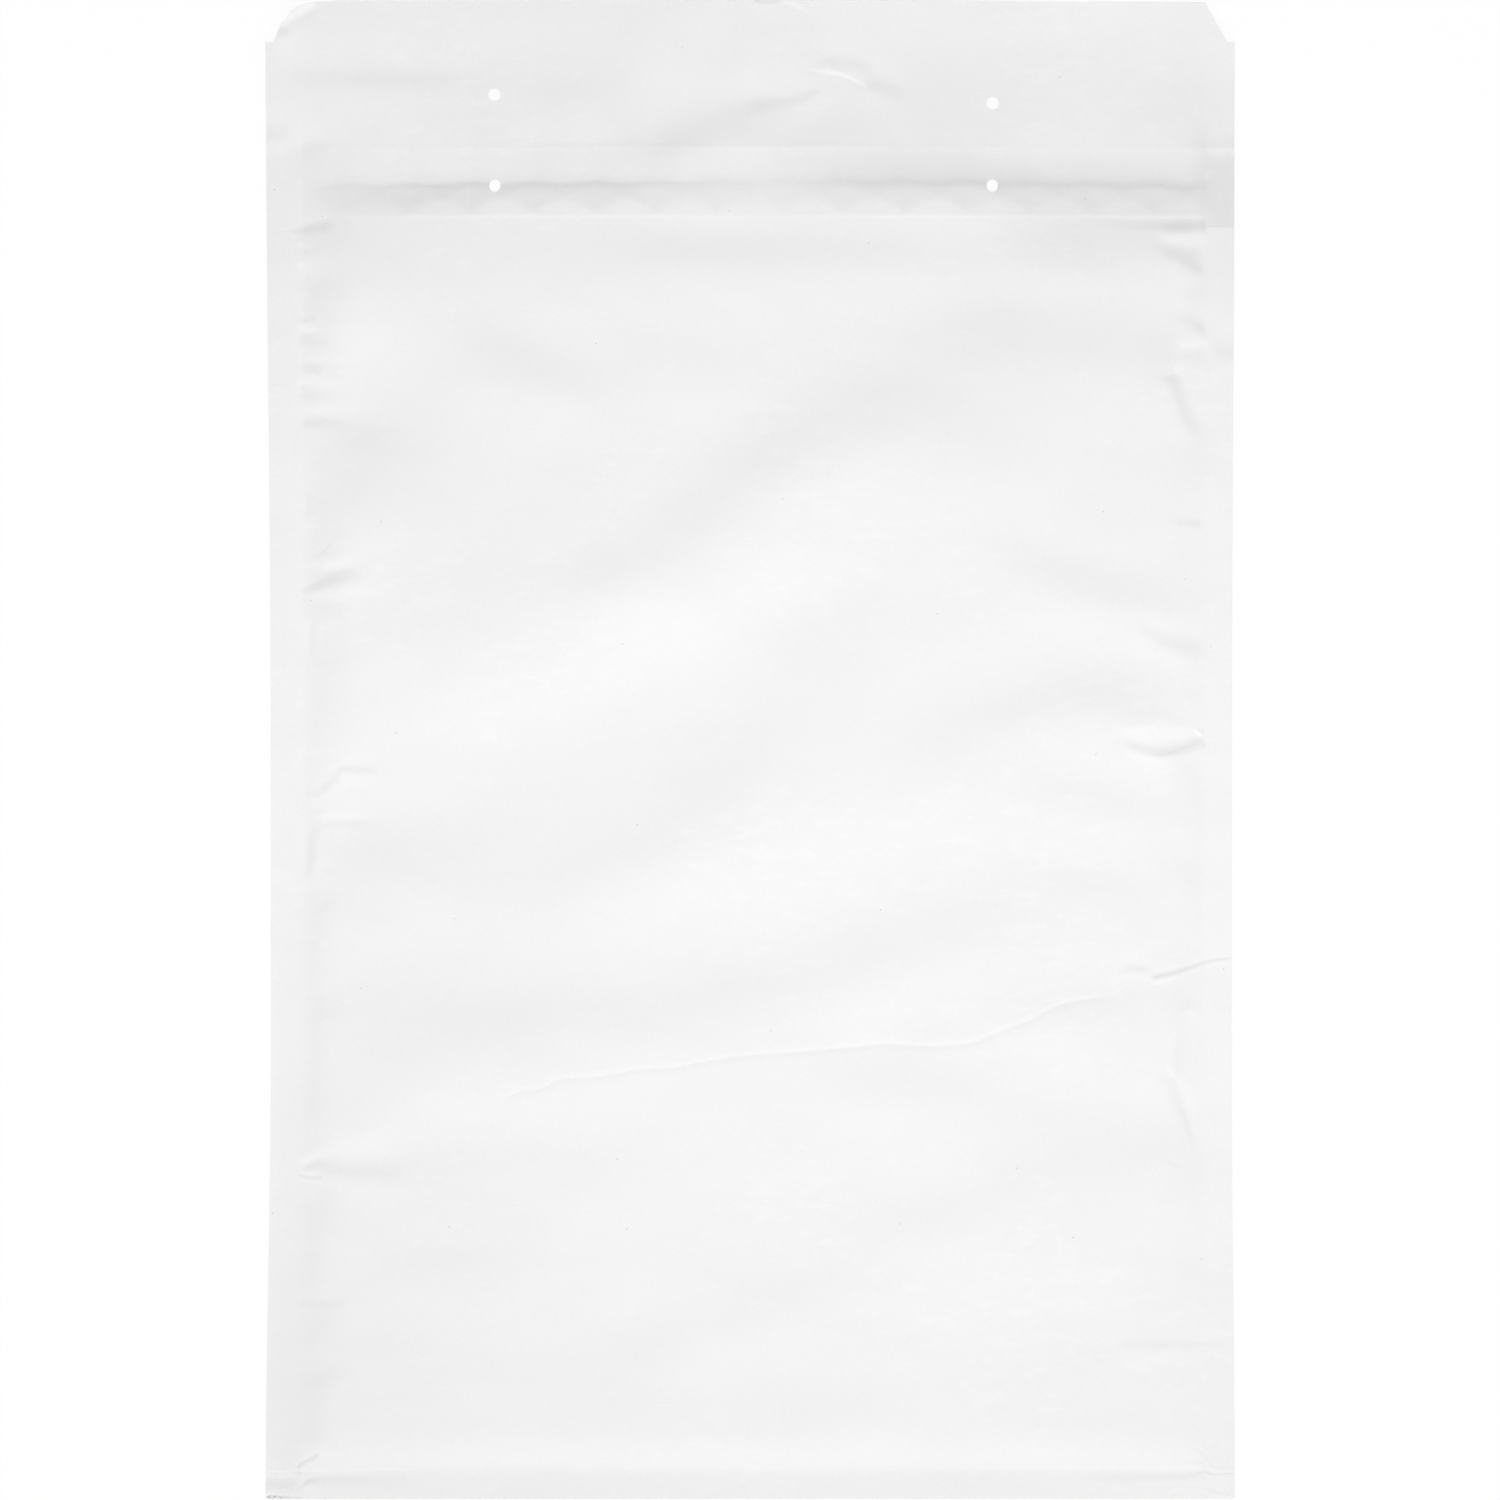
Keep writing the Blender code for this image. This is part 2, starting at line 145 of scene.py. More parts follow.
@dataclass(frozen=True)
class Wrinkle:
    """A crease or soft fold in the paper, along a line of points.

    Attributes:
        route: Points of the line as (x, v) in millimetres.
        height: Rise of the crest in millimetres. A negative one is a dent. For a roll it is the rise of the
            left side where the roll is widest, and the slope stays the same where it is narrower.
        width: Half width in millimetres at the start and at the end.
        fade: Shares of the length over which it grows in at the start and dies out at the end.
        crest: The form across the line.
    """

    route: tuple[tuple[float, float], ...]
    height: float
    width: tuple[float, float]
    fade: tuple[float, float] = (0.35, 0.5)
    crest: Crest = Crest.ROLL

    def line(self) -> Array:
        """Draw the route as a smooth curve of close points.

        Returns:
            One row of (x, v) in metres for each point.
        """
        points = [np.array(point) for point in self.route]
        points = [2 * points[0] - points[1], *points, 2 * points[-1] - points[-2]]
        steps = np.linspace(0, 1, CURVE_POINTS)[:, None]
        curve = []
        for before, start, end, after in zip(points, points[1:], points[2:], points[3:]):
            bend = (2 * before - 5 * start + 4 * end - after) * steps**2
            twist = (3 * (start - end) + after - before) * steps**3
            curve.append((2 * start + (end - before) * steps + bend + twist) / 2)
        return np.vstack([part[:-1] for part in curve] + [curve[-1][-1:]]) * MM

    def near(self, x: Array, v: Array) -> tuple[Array, Array, Array]:
        """Find the nearest place on the line for each point.

        Args:
            x: Points across the envelope.
            v: Points along the envelope.

        Returns:
            The distance, the signed distance that is positive on the left, and the share of the length.
        """
        line = self.line()
        best = np.full(x.shape, np.inf)
        side = np.zeros(x.shape)
        share = np.zeros(x.shape)
        lengths = np.hypot(*np.diff(line, axis=0).T)
        starts = np.concatenate([[0.0], np.cumsum(lengths)])
        for start, end, length, before in zip(line, line[1:], lengths, starts):
            run = (end - start) / max(length, 1e-9)
            along = np.clip((x - start[0]) * run[0] + (v - start[1]) * run[1], 0.0, length)
            away = np.hypot(x - start[0] - along * run[0], v - start[1] - along * run[1])
            closer = away < best
            best = np.where(closer, away, best)
            side = np.where(closer, run[0] * (v - start[1]) - run[1] * (x - start[0]), side)
            share = np.where(closer, (before + along) / starts[-1], share)
        return best, side, share

    def around(self, x: Array, v: Array) -> Array:
        """Which points lie in the box round the line that the wrinkle reaches.

        Args:
            x: Points across the envelope.
            v: Points along the envelope.

        Returns:
            A truth value for each point.
        """
        line = self.line()
        reach = REACH[self.crest] * max(self.width) * MM
        low, high = line.min(axis=0) - reach, line.max(axis=0) + reach
        return (x > low[0]) & (x < high[0]) & (v > low[1]) & (v < high[1])

    def half_width(self, share: Array) -> Array:
        """Half width in metres at shares of the length."""
        return (self.width[0] + (self.width[1] - self.width[0]) * share) * MM

    def lift(self, x: Array, v: Array) -> Array:
        """Find the height that the wrinkle adds.

        Args:
            x: Points across the envelope.
            v: Points along the envelope.

        Returns:
            The height in metres at each point.
        """
        close = self.around(x, v)
        lifted = np.zeros(x.shape)
        if not close.any():
            return lifted
        away, side, share = self.near(x[close], v[close])
        width = self.half_width(share)
        grow = smooth(share / max(self.fade[0], 1e-6)) * smooth((1 - share) / max(self.fade[1], 1e-6))
        if self.crest is Crest.ROLL:
            across = np.clip(side / width, -ROLL_LIMIT, ROLL_LIMIT)
            form = across * np.exp((1 - (away / width) ** 2) / 2) * width / (max(self.width) * MM)
        else:
            form = bell(away / width)
        lifted[close] = self.height * MM * form * grow
        return lifted


@dataclass(frozen=True)
class MouthStep:
    """Fall of the front ply from the full film, over its last cut bubbles and its edge, to the bare paper.

    Rows of bubbles make scalloped bends across the fall: an inner row of whole bubbles and an outer row that
    the film's edge cuts. Every bend starts a steeper slope.

    Attributes:
        crest: Where the fall starts.
        inner_row: Bend over the tops of the inner bubbles.
        outer_row: Bend over the tops of the outer, cut bubbles.
        edge: The film's edge in the middle.
        bow: How much lower the edge lies at bow_reach from the middle.
        bow_reach: That distance.
        pitch: Distance of the bubbles in a row. The outer row is shifted by half of it.
        inner_sag: How far the inner bend drops back between two bubbles.
        outer_sag: The same for the outer bend.
        waver: How far the edge wanders with the outer bubbles.
        drift: How far it wanders slowly, as a share of waver.
        drift_length: Distance over which the slow wandering turns by one radian.
        drift_phase: Where the slow wandering is in the middle, in radians.
        slopes: Slope past the crest, past the inner bend and past the outer bend.
        lip_slope: Slope just past the edge.
        bare_slope: Slope of the bare paper up to the crease on the right. On the left it lies level.
        lip_run: Distance over which the lip's slope eases to that of the bare paper, on the left and right.
        rightward: Where the left's values change to the right's.
        soft: Half width of each bend.
        bead: Height of the fine step up along the crest.
        bead_width: Half width of that step.
        middle: Where the plies stand apart, so that the front falls less.
        middle_loss: Share of the fall that is lost there.
        right: Where the fall grows a little less towards the right.
        right_loss: Share of the fall that is lost there.
        left: The same towards the left.
        left_loss: Share of the fall that is lost there.
    """

    crest: float = 0.4240
    inner_row: float = 0.4296
    outer_row: float = 0.4333
    edge: float = 0.4348
    bow: float = 0.0012
    bow_reach: float = 0.15
    pitch: float = 0.02052
    inner_sag: float = 0.0045
    outer_sag: float = 0.0022
    waver: float = 0.00042
    drift: float = 0.4
    drift_length: float = 0.043
    drift_phase: float = 0.6
    slopes: tuple[float, float, float] = (0.04, 0.15, 0.24)
    lip_slope: float = 0.41
    bare_slope: float = 0.06
    lip_run: tuple[float, float] = (0.0013, 0.0022)
    rightward: Zone = Zone(-0.060, 0.120)
    soft: float = 0.0004
    bead: float = 0.00011
    bead_width: float = 0.0005
    middle: Zone = Zone(0.004, 0.026)
    middle_loss: float = 0.50
    right: Zone = Zone(0.06, 0.06)
    right_loss: float = 0.12
    left: Zone = Zone(-0.098, -0.042)
    left_loss: float = 0.60

    def ramp(self, past: Array) -> Array:
        """Distance past a bend, with the bend rounded off."""
        rounded = (past + self.soft) ** 2 / (4 * self.soft)
        return np.where(past > self.soft, past, np.where(past > -self.soft, rounded, 0.0))

    def between(self, x: Array, shift: float) -> Array:
        """How far a place lies from the nearest bubble's middle, as a share of half the pitch."""
        return np.abs(np.mod(x / self.pitch + shift + 0.5, 1.0) - 0.5) * 2

    def film_edge(self, x: Array) -> Array:
        """Find the film's edge, which wavers with its cut bubbles.

        Args:
            x: Places across the envelope.

        Returns:
            The edge's distance from the bottom fold at each place.
        """
        slow = self.drift * self.waver * np.sin(x / self.drift_length + self.drift_phase)
        scallops = self.waver * np.cos(math.pi * self.between(x, 0.5))
        return self.edge + scallops + slow - self.bow * (x / self.bow_reach) ** 2

    def drop(self, x: Array, v: Array) -> Array:
        """Find how far the ply has fallen where it falls in full.

        Args:
            x: Points across the envelope.
            v: Points along the envelope.

        Returns:
            The fall at each point.
        """
        inner = np.maximum(self.inner_row - self.inner_sag * self.between(x, 0.0) ** 2, self.crest)
        outer = self.outer_row - self.outer_sag * self.between(x, 0.5) ** 2
        past_edge = v - self.film_edge(x)
        first, second, third = self.slopes
        rightward = self.rightward.step(x)
        bare = self.bare_slope * rightward
        run = self.lip_run[0] + (self.lip_run[1] - self.lip_run[0]) * rightward
        fall = first * self.ramp(v - self.crest) + (second - first) * self.ramp(v - inner)
        fall += (third - second) * self.ramp(v - outer) - (third - bare) * self.ramp(past_edge)
        fall += (self.lip_slope - bare) * run * (1 - np.exp(-self.ramp(past_edge) / run))
        return fall - self.bead * smooth((v - self.crest) / (2 * self.bead_width) + 0.5)

    def strength(self, x: Array) -> Array:
        """Share of the full fall at each place across the envelope."""
        share = 1.0 - self.middle_loss * self.middle.hump(x) - self.right_loss * self.right.step(x)
        return share * (1 - self.left_loss * self.left.step(x))


# Broad swells of the front, from the mouth down. Lines run to the right, so a roll with a negative height
# faces the flap and looks darker, and one with a positive height faces the bottom fold.
SWELLS = (
    Wrinkle(((-70, 413), (0, 413), (60, 411), (130, 409)), -0.22, (4, 7), (0.3, 0.1)),
    Wrinkle(((-152, 382), (-128, 382), (-92, 374)), 1.30, (24, 20), (0.02, 0.6)),
    Wrinkle(((-105, 388), (-70, 374), (-35, 364)), -0.42, (10, 8), (0.4, 0.4)),
    Wrinkle(((-70, 394), (-20, 394), (30, 392)), 0.30, (10, 12), (0.3, 0.4)),
    Wrinkle(((40, 392), (90, 390), (150, 380)), -0.60, (14, 16), (0.4, 0.1)),
    Wrinkle(((-152, 353), (-125, 350), (-95, 345)), -0.16, (5, 6), (0.1, 0.7)),
    Wrinkle(
        ((-75, 298), (-45, 307), (-20, 323), (0, 342), (25, 357), (55, 366), (120, 372)),
        -1.10, (8, 25), (0.15, 0.3),
    ),
    Wrinkle(
        ((-152, 258), (-100, 260), (-60, 270), (-20, 290), (20, 314), (60, 336)),
        1.50, (30, 13), (0.02, 0.25),
    ),
    Wrinkle(((60, 327), (85, 313), (110, 304), (145, 299)), -0.30, (6, 8), (0.5, 0.1)),
    Wrinkle(((50, 268), (75, 284), (100, 289), (130, 285)), 0.22, (8, 7), (0.3, 0.3)),
    Wrinkle(
        ((40, 246), (70, 253), (90, 262), (110, 267), (130, 264), (148, 258)),
        -0.50, (10, 9), (0.4, 0.2),
    ),
    Wrinkle(
        ((-110, 186), (-60, 207), (-30, 223), (0, 246), (20, 268), (40, 290), (60, 312)),
        -0.42, (14, 13),
    ),
    Wrinkle(((90, 240), (112, 233), (138, 226)), -0.25, (5, 5), (0.4, 0.3)),
    Wrinkle(((-65, 190), (-20, 203), (20, 213), (60, 220), (130, 217)), 0.32, (12, 13), (0.3, 0.3)),
    Wrinkle(((80, 204), (105, 205), (135, 201)), -0.22, (4.5, 4.5), (0.4, 0.3)),
    Wrinkle(
        ((-150, 148), (-100, 159), (-50, 162), (0, 168), (40, 182), (95, 196)),
        -0.85, (19, 10), (0.2, 0.3),
    ),
    Wrinkle(((20, 157), (60, 168), (100, 178), (145, 176)), 0.32, (8, 10), (0.3, 0.2)),
    Wrinkle(((0, 149), (40, 142), (70, 138), (125, 130)), -0.24, (8, 8), (0.3, 0.5)),
    Wrinkle(((-140, 127), (-60, 128), (0, 126)), 0.22, (9, 9), (0.2, 0.6)),
    Wrinkle(((-60, 106), (0, 110), (60, 116), (120, 112)), 0.25, (13, 13)),
    Wrinkle(((30, 84), (60, 93), (110, 114)), -0.16, (7, 7)),
    Wrinkle(((-130, 77), (-95, 78), (-65, 73)), -0.24, (6, 6), (0.2, 0.5)),
    Wrinkle(((-65, 49), (-30, 53), (0, 59), (40, 66)), -0.42, (8, 8)),
    Wrinkle(((-60, 64), (0, 70), (50, 74)), -0.36, (12, 12), (0.3, 0.3)),
    Wrinkle(((-48, 287), (0, 310), (52, 330)), -0.22, (9, 9), (0.3, 0.3)),
    Wrinkle(((30, 52), (80, 66), (155, 92)), 0.80, (18, 26), (0.5, 0.02)),
    Wrinkle(((-148, 49), (-112, 53)), -0.15, (5, 5), (0.1, 0.5)),
    Wrinkle(((80, 30), (120, 32), (152, 34)), 0.35, (14, 14), (0.4, 0.1)),
    Wrinkle(((-150, 232), (-118, 230), (-85, 226)), 0.45, (12, 10), (0.05, 0.5)),
    Wrinkle(((-150, 308), (-118, 309), (-85, 312)), 0.7, (20, 18), (0.05, 0.6)),
    Wrinkle(((60, 140), (105, 141), (152, 140)), 0.55, (18, 18), (0.5, 0.1)),
    Wrinkle(((-90, 40), (-20, 36), (50, 36)), -0.44, (14, 14), (0.4, 0.4)),
)

# Soft dents and folds of the flap
FLAP_SWELLS = (
    Wrinkle(((-50, 440), (-32, 447), (-12, 454), (4, 459), (27, 464)), -0.62, (8, 5.5), (0.35, 0.35)),
    Wrinkle(((-6, 460), (4, 461.2), (14, 462.4), (26, 467.2)), -0.24, (3.0, 1.3), (0.35, 0.2)),
    Wrinkle(((-38, 460), (-26, 475), (-14, 488), (2, 498)), 0.24, (9, 9), (0.4, 0.4)),
    Wrinkle(((-12, 447), (15, 451), (48, 454)), -0.26, (6, 6), (0.35, 0.4)),
    Wrinkle(((-88, 453), (-62, 454), (-38, 457)), 0.22, (6, 6), (0.4, 0.3)),
    Wrinkle(((21, 476.4), (29, 475), (36, 474), (43, 469.5)), -0.2, (1.9, 2.4), (0.2, 0.4)),
    Wrinkle(((17, 472.8), (24, 472), (30, 471), (35, 469), (39.5, 466)), 0.08, (0.7, 0.6), (0.35, 0.2)),
    Wrinkle(((37, 469), (44, 466.6), (54, 463.6)), -0.26, (3, 2.6), (0.2, 0.5)),
    Wrinkle(((-152, 452), (-160.5, 451.6)), 0.24, (3, 3), (0.3, 0.0)),
    Wrinkle(((-156, 470), (-110, 469.3), (-70, 470.5)), -0.20, (4, 3.5), (0.1, 0.6)),
    Wrinkle(((-148, 455), (-138, 451)), 0.24, (4, 4), (0.3, 0.4)),
    Wrinkle(((-157, 484.6), (-151, 486.2)), -0.36, (2.2, 2.2), (0.2, 0.3)),
    Wrinkle(((-153, 489.4), (-148, 492.4), (-142.5, 495.2)), 0.26, (1.2, 1.3), (0.1, 0.2)),
    Wrinkle(((8, 496), (14, 494), (22, 491)), 0.07, (0.8, 0.8), (0.1, 0.4)),
    Wrinkle(((-146, 486), (-90, 486), (-25, 486)), 0.28, (12, 12), (0.2, 0.3)),
    Wrinkle(((30, 486), (90, 487), (150, 487)), 0.24, (12, 12), (0.3, 0.1)),
    Wrinkle(((16, 487), (22, 485)), -0.07, (2.2, 2.2), (0.3, 0.3)),
    Wrinkle(((152.5, 486), (156.5, 483.6)), -0.09, (1.6, 1.6), (0.3, 0.2)),
    Wrinkle(((138, 449), (160.5, 449.5)), -0.1, (2.2, 3), (0.5, 0)),
    Wrinkle(((-0.5, 495.3), (6, 494.7), (12, 495.3)), -0.10, (0.7, 0.7), (0.2, 0.2)),
)

# Wrinkles that start at the left seam and die out in the panel, from the mouth down
LEFT_WRINKLES = (
    Wrinkle(((-150, 441), (-100, 442.5), (-45, 443)), 0.10, (5, 5), (0.1, 0.5)),
    Wrinkle(((-143, 429.5), (-118, 428.5), (-85, 428.5)), -0.18, (5, 4), (0.4, 0.6)),
    Wrinkle(((-160.5, 418.9), (-153, 419.2)), -0.015, (0.35, 0.35), (0.0, 0.0)),
    Wrinkle(((-153, 419.2), (-147, 420), (-137.5, 421.1)), -0.25, (0.6, 2.6), (0.15, 0.15)),
    Wrinkle(((-149.5, 416), (-145.5, 413.5)), 0.18, (1.6, 1.6), (0.1, 0.3)),
    Wrinkle(((-150, 407), (-131, 410)), 0.28, (5, 4), (0.05, 0.4)),
    Wrinkle(((-149, 409.3), (-146.5, 410.8)), -0.05, (0.6, 0.6), (0.1, 0.3)),
    Wrinkle(((-149, 389.6), (-142, 392.2)), -0.04, (0.9, 1.2), (0.05, 0.5)),
    Wrinkle(((-150, 387.3), (-140, 387.5)), 0.11, (1.5, 1.5), (0.05, 0.5)),
    Wrinkle(((-149, 383), (-137, 382.8)), -0.08, (1.6, 1.8), (0.05, 0.4)),
    Wrinkle(((-147, 378.2), (-140, 376)), 0.14, (1.6, 1.6), (0.3, 0.4)),
    Wrinkle(((-148.5, 374.2), (-145, 374.2)), -0.015, (0.9, 0.9), (0.1, 0.4)),
    Wrinkle(((-150, 370.5), (-135, 368)), 0.24, (1.8, 3), (0.05, 0.5)),
    Wrinkle(((-149, 365.2), (-143.5, 364.6)), -0.04, (1, 1), (0.05, 0.4)),
    Wrinkle(((-149, 360.6), (-141, 360.4)), 0.04, (1.4, 1.4), (0.05, 0.4)),
    Wrinkle(((-149, 355.5), (-140, 356), (-128, 354.3)), -0.24, (1.9, 2.6), (0.02, 0.7)),
    Wrinkle(((-147, 330.5), (-141, 330.8)), -0.06, (1.3, 1.3), (0.2, 0.4)),
    Wrinkle(((-148.5, 326), (-145.5, 327.4)), -0.03, (0.5, 0.5), (0.1, 0.4)),
    Wrinkle(((-149, 322), (-141, 322.3)), 0.12, (1.8, 1.8), (0.1, 0.4)),
    Wrinkle(((-139.3, 318), (-140, 315), (-143.5, 311.3)), 0.07, (0.7, 0.7), (0.2, 0.3)),
    Wrinkle(((-149, 309), (-130, 309.5)), 0.11, (1.5, 1.8), (0.05, 0.4)),
    Wrinkle(((-149.5, 299.8), (-144, 302.2), (-138, 304.4), (-125, 308)), -0.38, (1.0, 3.6), (0.05, 0.35)),
    Wrinkle(((-146, 298.2), (-128, 299.3)), 0.24, (1.6, 3), (0.2, 0.5)),
    Wrinkle(((-148, 287), (-128, 289)), 0.26, (7, 7), (0.05, 0.5)),
    Wrinkle(((-160.5, 300.8), (-149.5, 301.2)), 0.016, (0.35, 0.35), (0.0, 0.1)),
    Wrinkle(((-146, 276), (-145.3, 285), (-144.3, 293)), -0.16, (1.2, 1.2), (0.3, 0.2)),
    Wrinkle(((-150, 247), (-138, 247.5)), 0.12, (2, 2), (0.05, 0.3)),
    Wrinkle(((-137, 241.9), (-130, 241.4), (-119, 240.6)), -0.34, (1.0, 2.4), (0.1, 0.6)),
    Wrinkle(((-136.3, 242), (-138, 238.5), (-140.5, 236), (-143.5, 233.8)), 0.17, (1.5, 1.5), (0.1, 0.2)),
    Wrinkle(((-141.5, 233.5), (-149, 233)), 0.08, (1.2, 1.2), (0.2, 0.3)),
    Wrinkle(((-145, 227), (-141.5, 228)), -0.10, (1.1, 1.1), (0.2, 0.2)),
    Wrinkle(((-143, 226), (-130, 225.8), (-120, 225.2)), 0.05, (1.1, 1.1), (0.1, 0.5)),
    Wrinkle(((-143, 223.2), (-121, 222.8)), -0.15, (1.3, 2.4), (0.1, 0.6)),
    Wrinkle(((-131, 224), (-134, 217)), 0.06, (0.8, 0.8), (0.2, 0.4)),
    Wrinkle(((-146.5, 206), (-146, 214), (-145.5, 224)), -0.32, (2, 2), (0.2, 0.2)),
    Wrinkle(((-144, 207.6), (-136.5, 208.6)), -0.09, (1.1, 1.1), (0.2, 0.3)),
    Wrinkle(((-149, 199.3), (-140.5, 200.2)), -0.06, (1.3, 1.3), (0.2, 0.3)),
    Wrinkle(((-135, 141), (-131, 141)), -0.02, (0.4, 0.4), (0.3, 0.3)),
    Wrinkle(((-158.8, 108.8), (-153, 107.5), (-149.5, 107.3)), -0.02, (0.35, 0.4), (0.1, 0.0)),
    Wrinkle(((-149, 110.5), (-143, 115), (-134, 117.5), (-110, 122)), 0.46, (0.9, 6), (0.05, 0.6)),
    Wrinkle(((-149, 109.2), (-143, 110.3), (-135, 108.3), (-110, 107.8)), -0.55, (1.1, 5), (0.03, 0.3)),
    Wrinkle(((-150.5, 107.3), (-146, 106.2), (-141.5, 106.4)), -0.17, (0.5, 0.9), (0.1, 0.2)),
    Wrinkle(((-150, 64.4), (-133, 64.2)), -0.17, (1.6, 1.8), (0.05, 0.3)),
    Wrinkle(((-148.7, 38.8), (-140, 39.4), (-131, 39.2)), -0.07, (2.2, 2.4), (0.02, 0.35)),
    Wrinkle(((-149.8, 10), (-147.5, 12), (-144.5, 13.4), (-142, 15.8)), -0.22, (0.7, 1.0), (0.05, 0.2)),
    Wrinkle(((-160.5, 9.7), (-151.5, 9.9)), -0.03, (0.35, 0.35), (0.0, 0.1)),
    Wrinkle(((-160.5, 8.3), (-149, 8.4), (-140, 8.2)), -0.05, (0.35, 0.45), (0.0, 0.5)),
    Wrinkle(((-150, 9.6), (-105, 9.7)), 0.03, (0.6, 0.6), (0.1, 0.2)),
    Wrinkle(((-160.5, 4.5), (-149, 4.5)), -0.26, (2.2, 2.2), (0.0, 0.2)),
    Wrinkle(((-150.5, 2.2), (-147.5, 4.5), (-145, 6.8)), -0.08, (0.6, 0.6), (0.2, 0.3)),
    Wrinkle(((-160, 1.9), (-150.5, 2.2)), -0.03, (0.35, 0.35), (0.0, 0.2)),
    Wrinkle(((-148, 6), (-130, 6), (-105, 5.5)), -0.25, (1.6, 1.8), (0.05, 0.7)),
)

# The same for the right seam. The lines run to the right here too, from the panel to the seam.
RIGHT_WRINKLES = (
    Wrinkle(((-15, 441), (50, 440), (110, 438), (152, 437)), -0.12, (5, 5), (0.3, 0.1)),
    Wrinkle(((60, 421), (100, 421), (151, 420)), -1.10, (14, 14), (0.5, 0.1)),
    Wrinkle(((106, 421.4), (135, 421.1), (152.5, 420.9)), -0.11, (1.2, 1.7), (0.6, 0.06)),
    Wrinkle(((151, 420.9), (160.5, 421.3)), -0.015, (0.4, 0.4), (0.1, 0.0)),
    Wrinkle(((133, 417.6), (142, 416.4), (150.5, 416.2)), 0.36, (1.4, 3), (0.3, 0.05)),
    Wrinkle(((134, 412.4), (142, 410.2), (150, 405.8)), -0.12, (2.0, 1.8), (0.3, 0.1)),
    Wrinkle(((139, 403.5), (150, 402.2)), 0.1, (1.8, 1.8), (0.3, 0.2)),
    Wrinkle(((139, 391.5), (147, 389), (151.5, 385.5)), -0.2, (2.6, 1.7), (0.3, 0.05)),
    Wrinkle(((140, 381.3), (151, 382.4)), 0.22, (1.8, 2.2), (0.3, 0.05)),
    Wrinkle(((152.5, 379), (160.5, 379)), -0.24, (4, 4), (0.3, 0.0)),
    Wrinkle(((133.5, 373.7), (138.5, 371.4)), -0.04, (0.4, 0.8), (0.2, 0.2)),
    Wrinkle(
        ((137.5, 372), (141.3, 367.5), (143.3, 361), (145.8, 355), (149.5, 350)),
        -0.42, (3.0, 2.5), (0.08, 0.3),
    ),
    Wrinkle(((139.5, 323.4), (150, 322.4)), -0.15, (1.8, 1.8), (0.3, 0.1)),
    Wrinkle(((127, 291.5), (133, 286), (141, 282.5), (150, 281.5)), -0.3, (2, 3.2), (0.3, 0.05)),
    Wrinkle(((141, 276), (150, 275)), -0.05, (2, 2), (0.3, 0.1)),
    Wrinkle(((143.5, 266.5), (149.5, 266.3)), -0.09, (1.8, 1.8), (0.3, 0.1)),
    Wrinkle(((119, 254), (135, 254.6), (149, 253.6)), 0.16, (1.6, 2.2), (0.3, 0.3)),
    Wrinkle(
        ((120.5, 251), (128, 248.8), (136, 247), (144, 248.3), (150.5, 251.2)),
        -0.34, (1.6, 2.4), (0.3, 0.05),
    ),
    Wrinkle(((129, 245.6), (138, 246.4), (149, 250.6)), -0.03, (0.5, 0.4), (0.3, 0.1)),
    Wrinkle(((146.3, 256.3), (151, 253.2)), -0.08, (0.9, 0.6), (0.2, 0.1)),
    Wrinkle(((148.5, 254), (152.5, 251.2), (160.5, 250.9)), 0.028, (0.5, 0.35), (0.1, 0.0)),
    Wrinkle(((151.5, 271.4), (160.5, 271.3)), 0.016, (0.35, 0.35), (0.1, 0.0)),
    Wrinkle(((120, 175.6), (133, 175.3)), -0.2, (1.6, 1.6), (0.3, 0.2)),
    Wrinkle(
        ((132.5, 172.3), (140, 173.9), (148, 176.4), (153, 178), (160.5, 179)),
        -0.24, (1.1, 0.5), (0.05, 0.1),
    ),
    Wrinkle(((133, 170.6), (143, 172.6)), 0.03, (0.8, 0.8), (0.2, 0.3)),
    Wrinkle(((146.5, 165.3), (151, 163.2)), -0.03, (0.6, 0.6), (0.2, 0.2)),
    Wrinkle(
        ((148, 161.5), (145.2, 160), (143, 155), (142, 148), (141.6, 139.5)),
        -0.34, (1.8, 2.0), (0.1, 0.05),
    ),
    Wrinkle(
        ((140.9, 139), (140.8, 135.5), (142.2, 131), (144.8, 124.5), (147.8, 113.5)),
        -0.36, (2.0, 1.1), (0.05, 0.15),
    ),
    Wrinkle(((137.5, 111.6), (143.5, 109.6)), -0.12, (1, 1), (0.2, 0.3)),
    Wrinkle(((129, 98), (143, 98.5)), -0.07, (1.3, 1.3), (0.3, 0.3)),
    Wrinkle(((145, 85.5), (148.5, 85.5)), -0.05, (1.2, 1.2), (0.2, 0.2)),
    Wrinkle(((120, 50.8), (158, 51.2)), -0.09, (1.4, 1.4), (0.1, 0.05)),
    Wrinkle(((120, 44.5), (147, 47)), 0.18, (3, 3), (0.3, 0.3)),
    Wrinkle(((60, 10.2), (150, 10.6)), 0.04, (0.7, 0.7), (0.4, 0.02)),
    Wrinkle(((100, 7), (130, 6.8), (150.5, 8)), -0.18, (1.5, 1.2), (0.5, 0.03)),
    Wrinkle(
        ((146.5, 17.5), (149.5, 14.5), (152.5, 11.2), (155, 10.3), (160.5, 10.4)),
        -0.06, (0.5, 0.35), (0.1, 0.0),
    ),
    Wrinkle(((147, 8.6), (151, 8.8), (153, 8.1), (160.5, 8.3)), -0.07, (0.4, 0.4), (0.2, 0.0)),
    Wrinkle(((149.5, 3.8), (153.5, 2.2), (158.8, 1.2)), -0.05, (0.5, 0.5), (0.1, 0.1)),
)

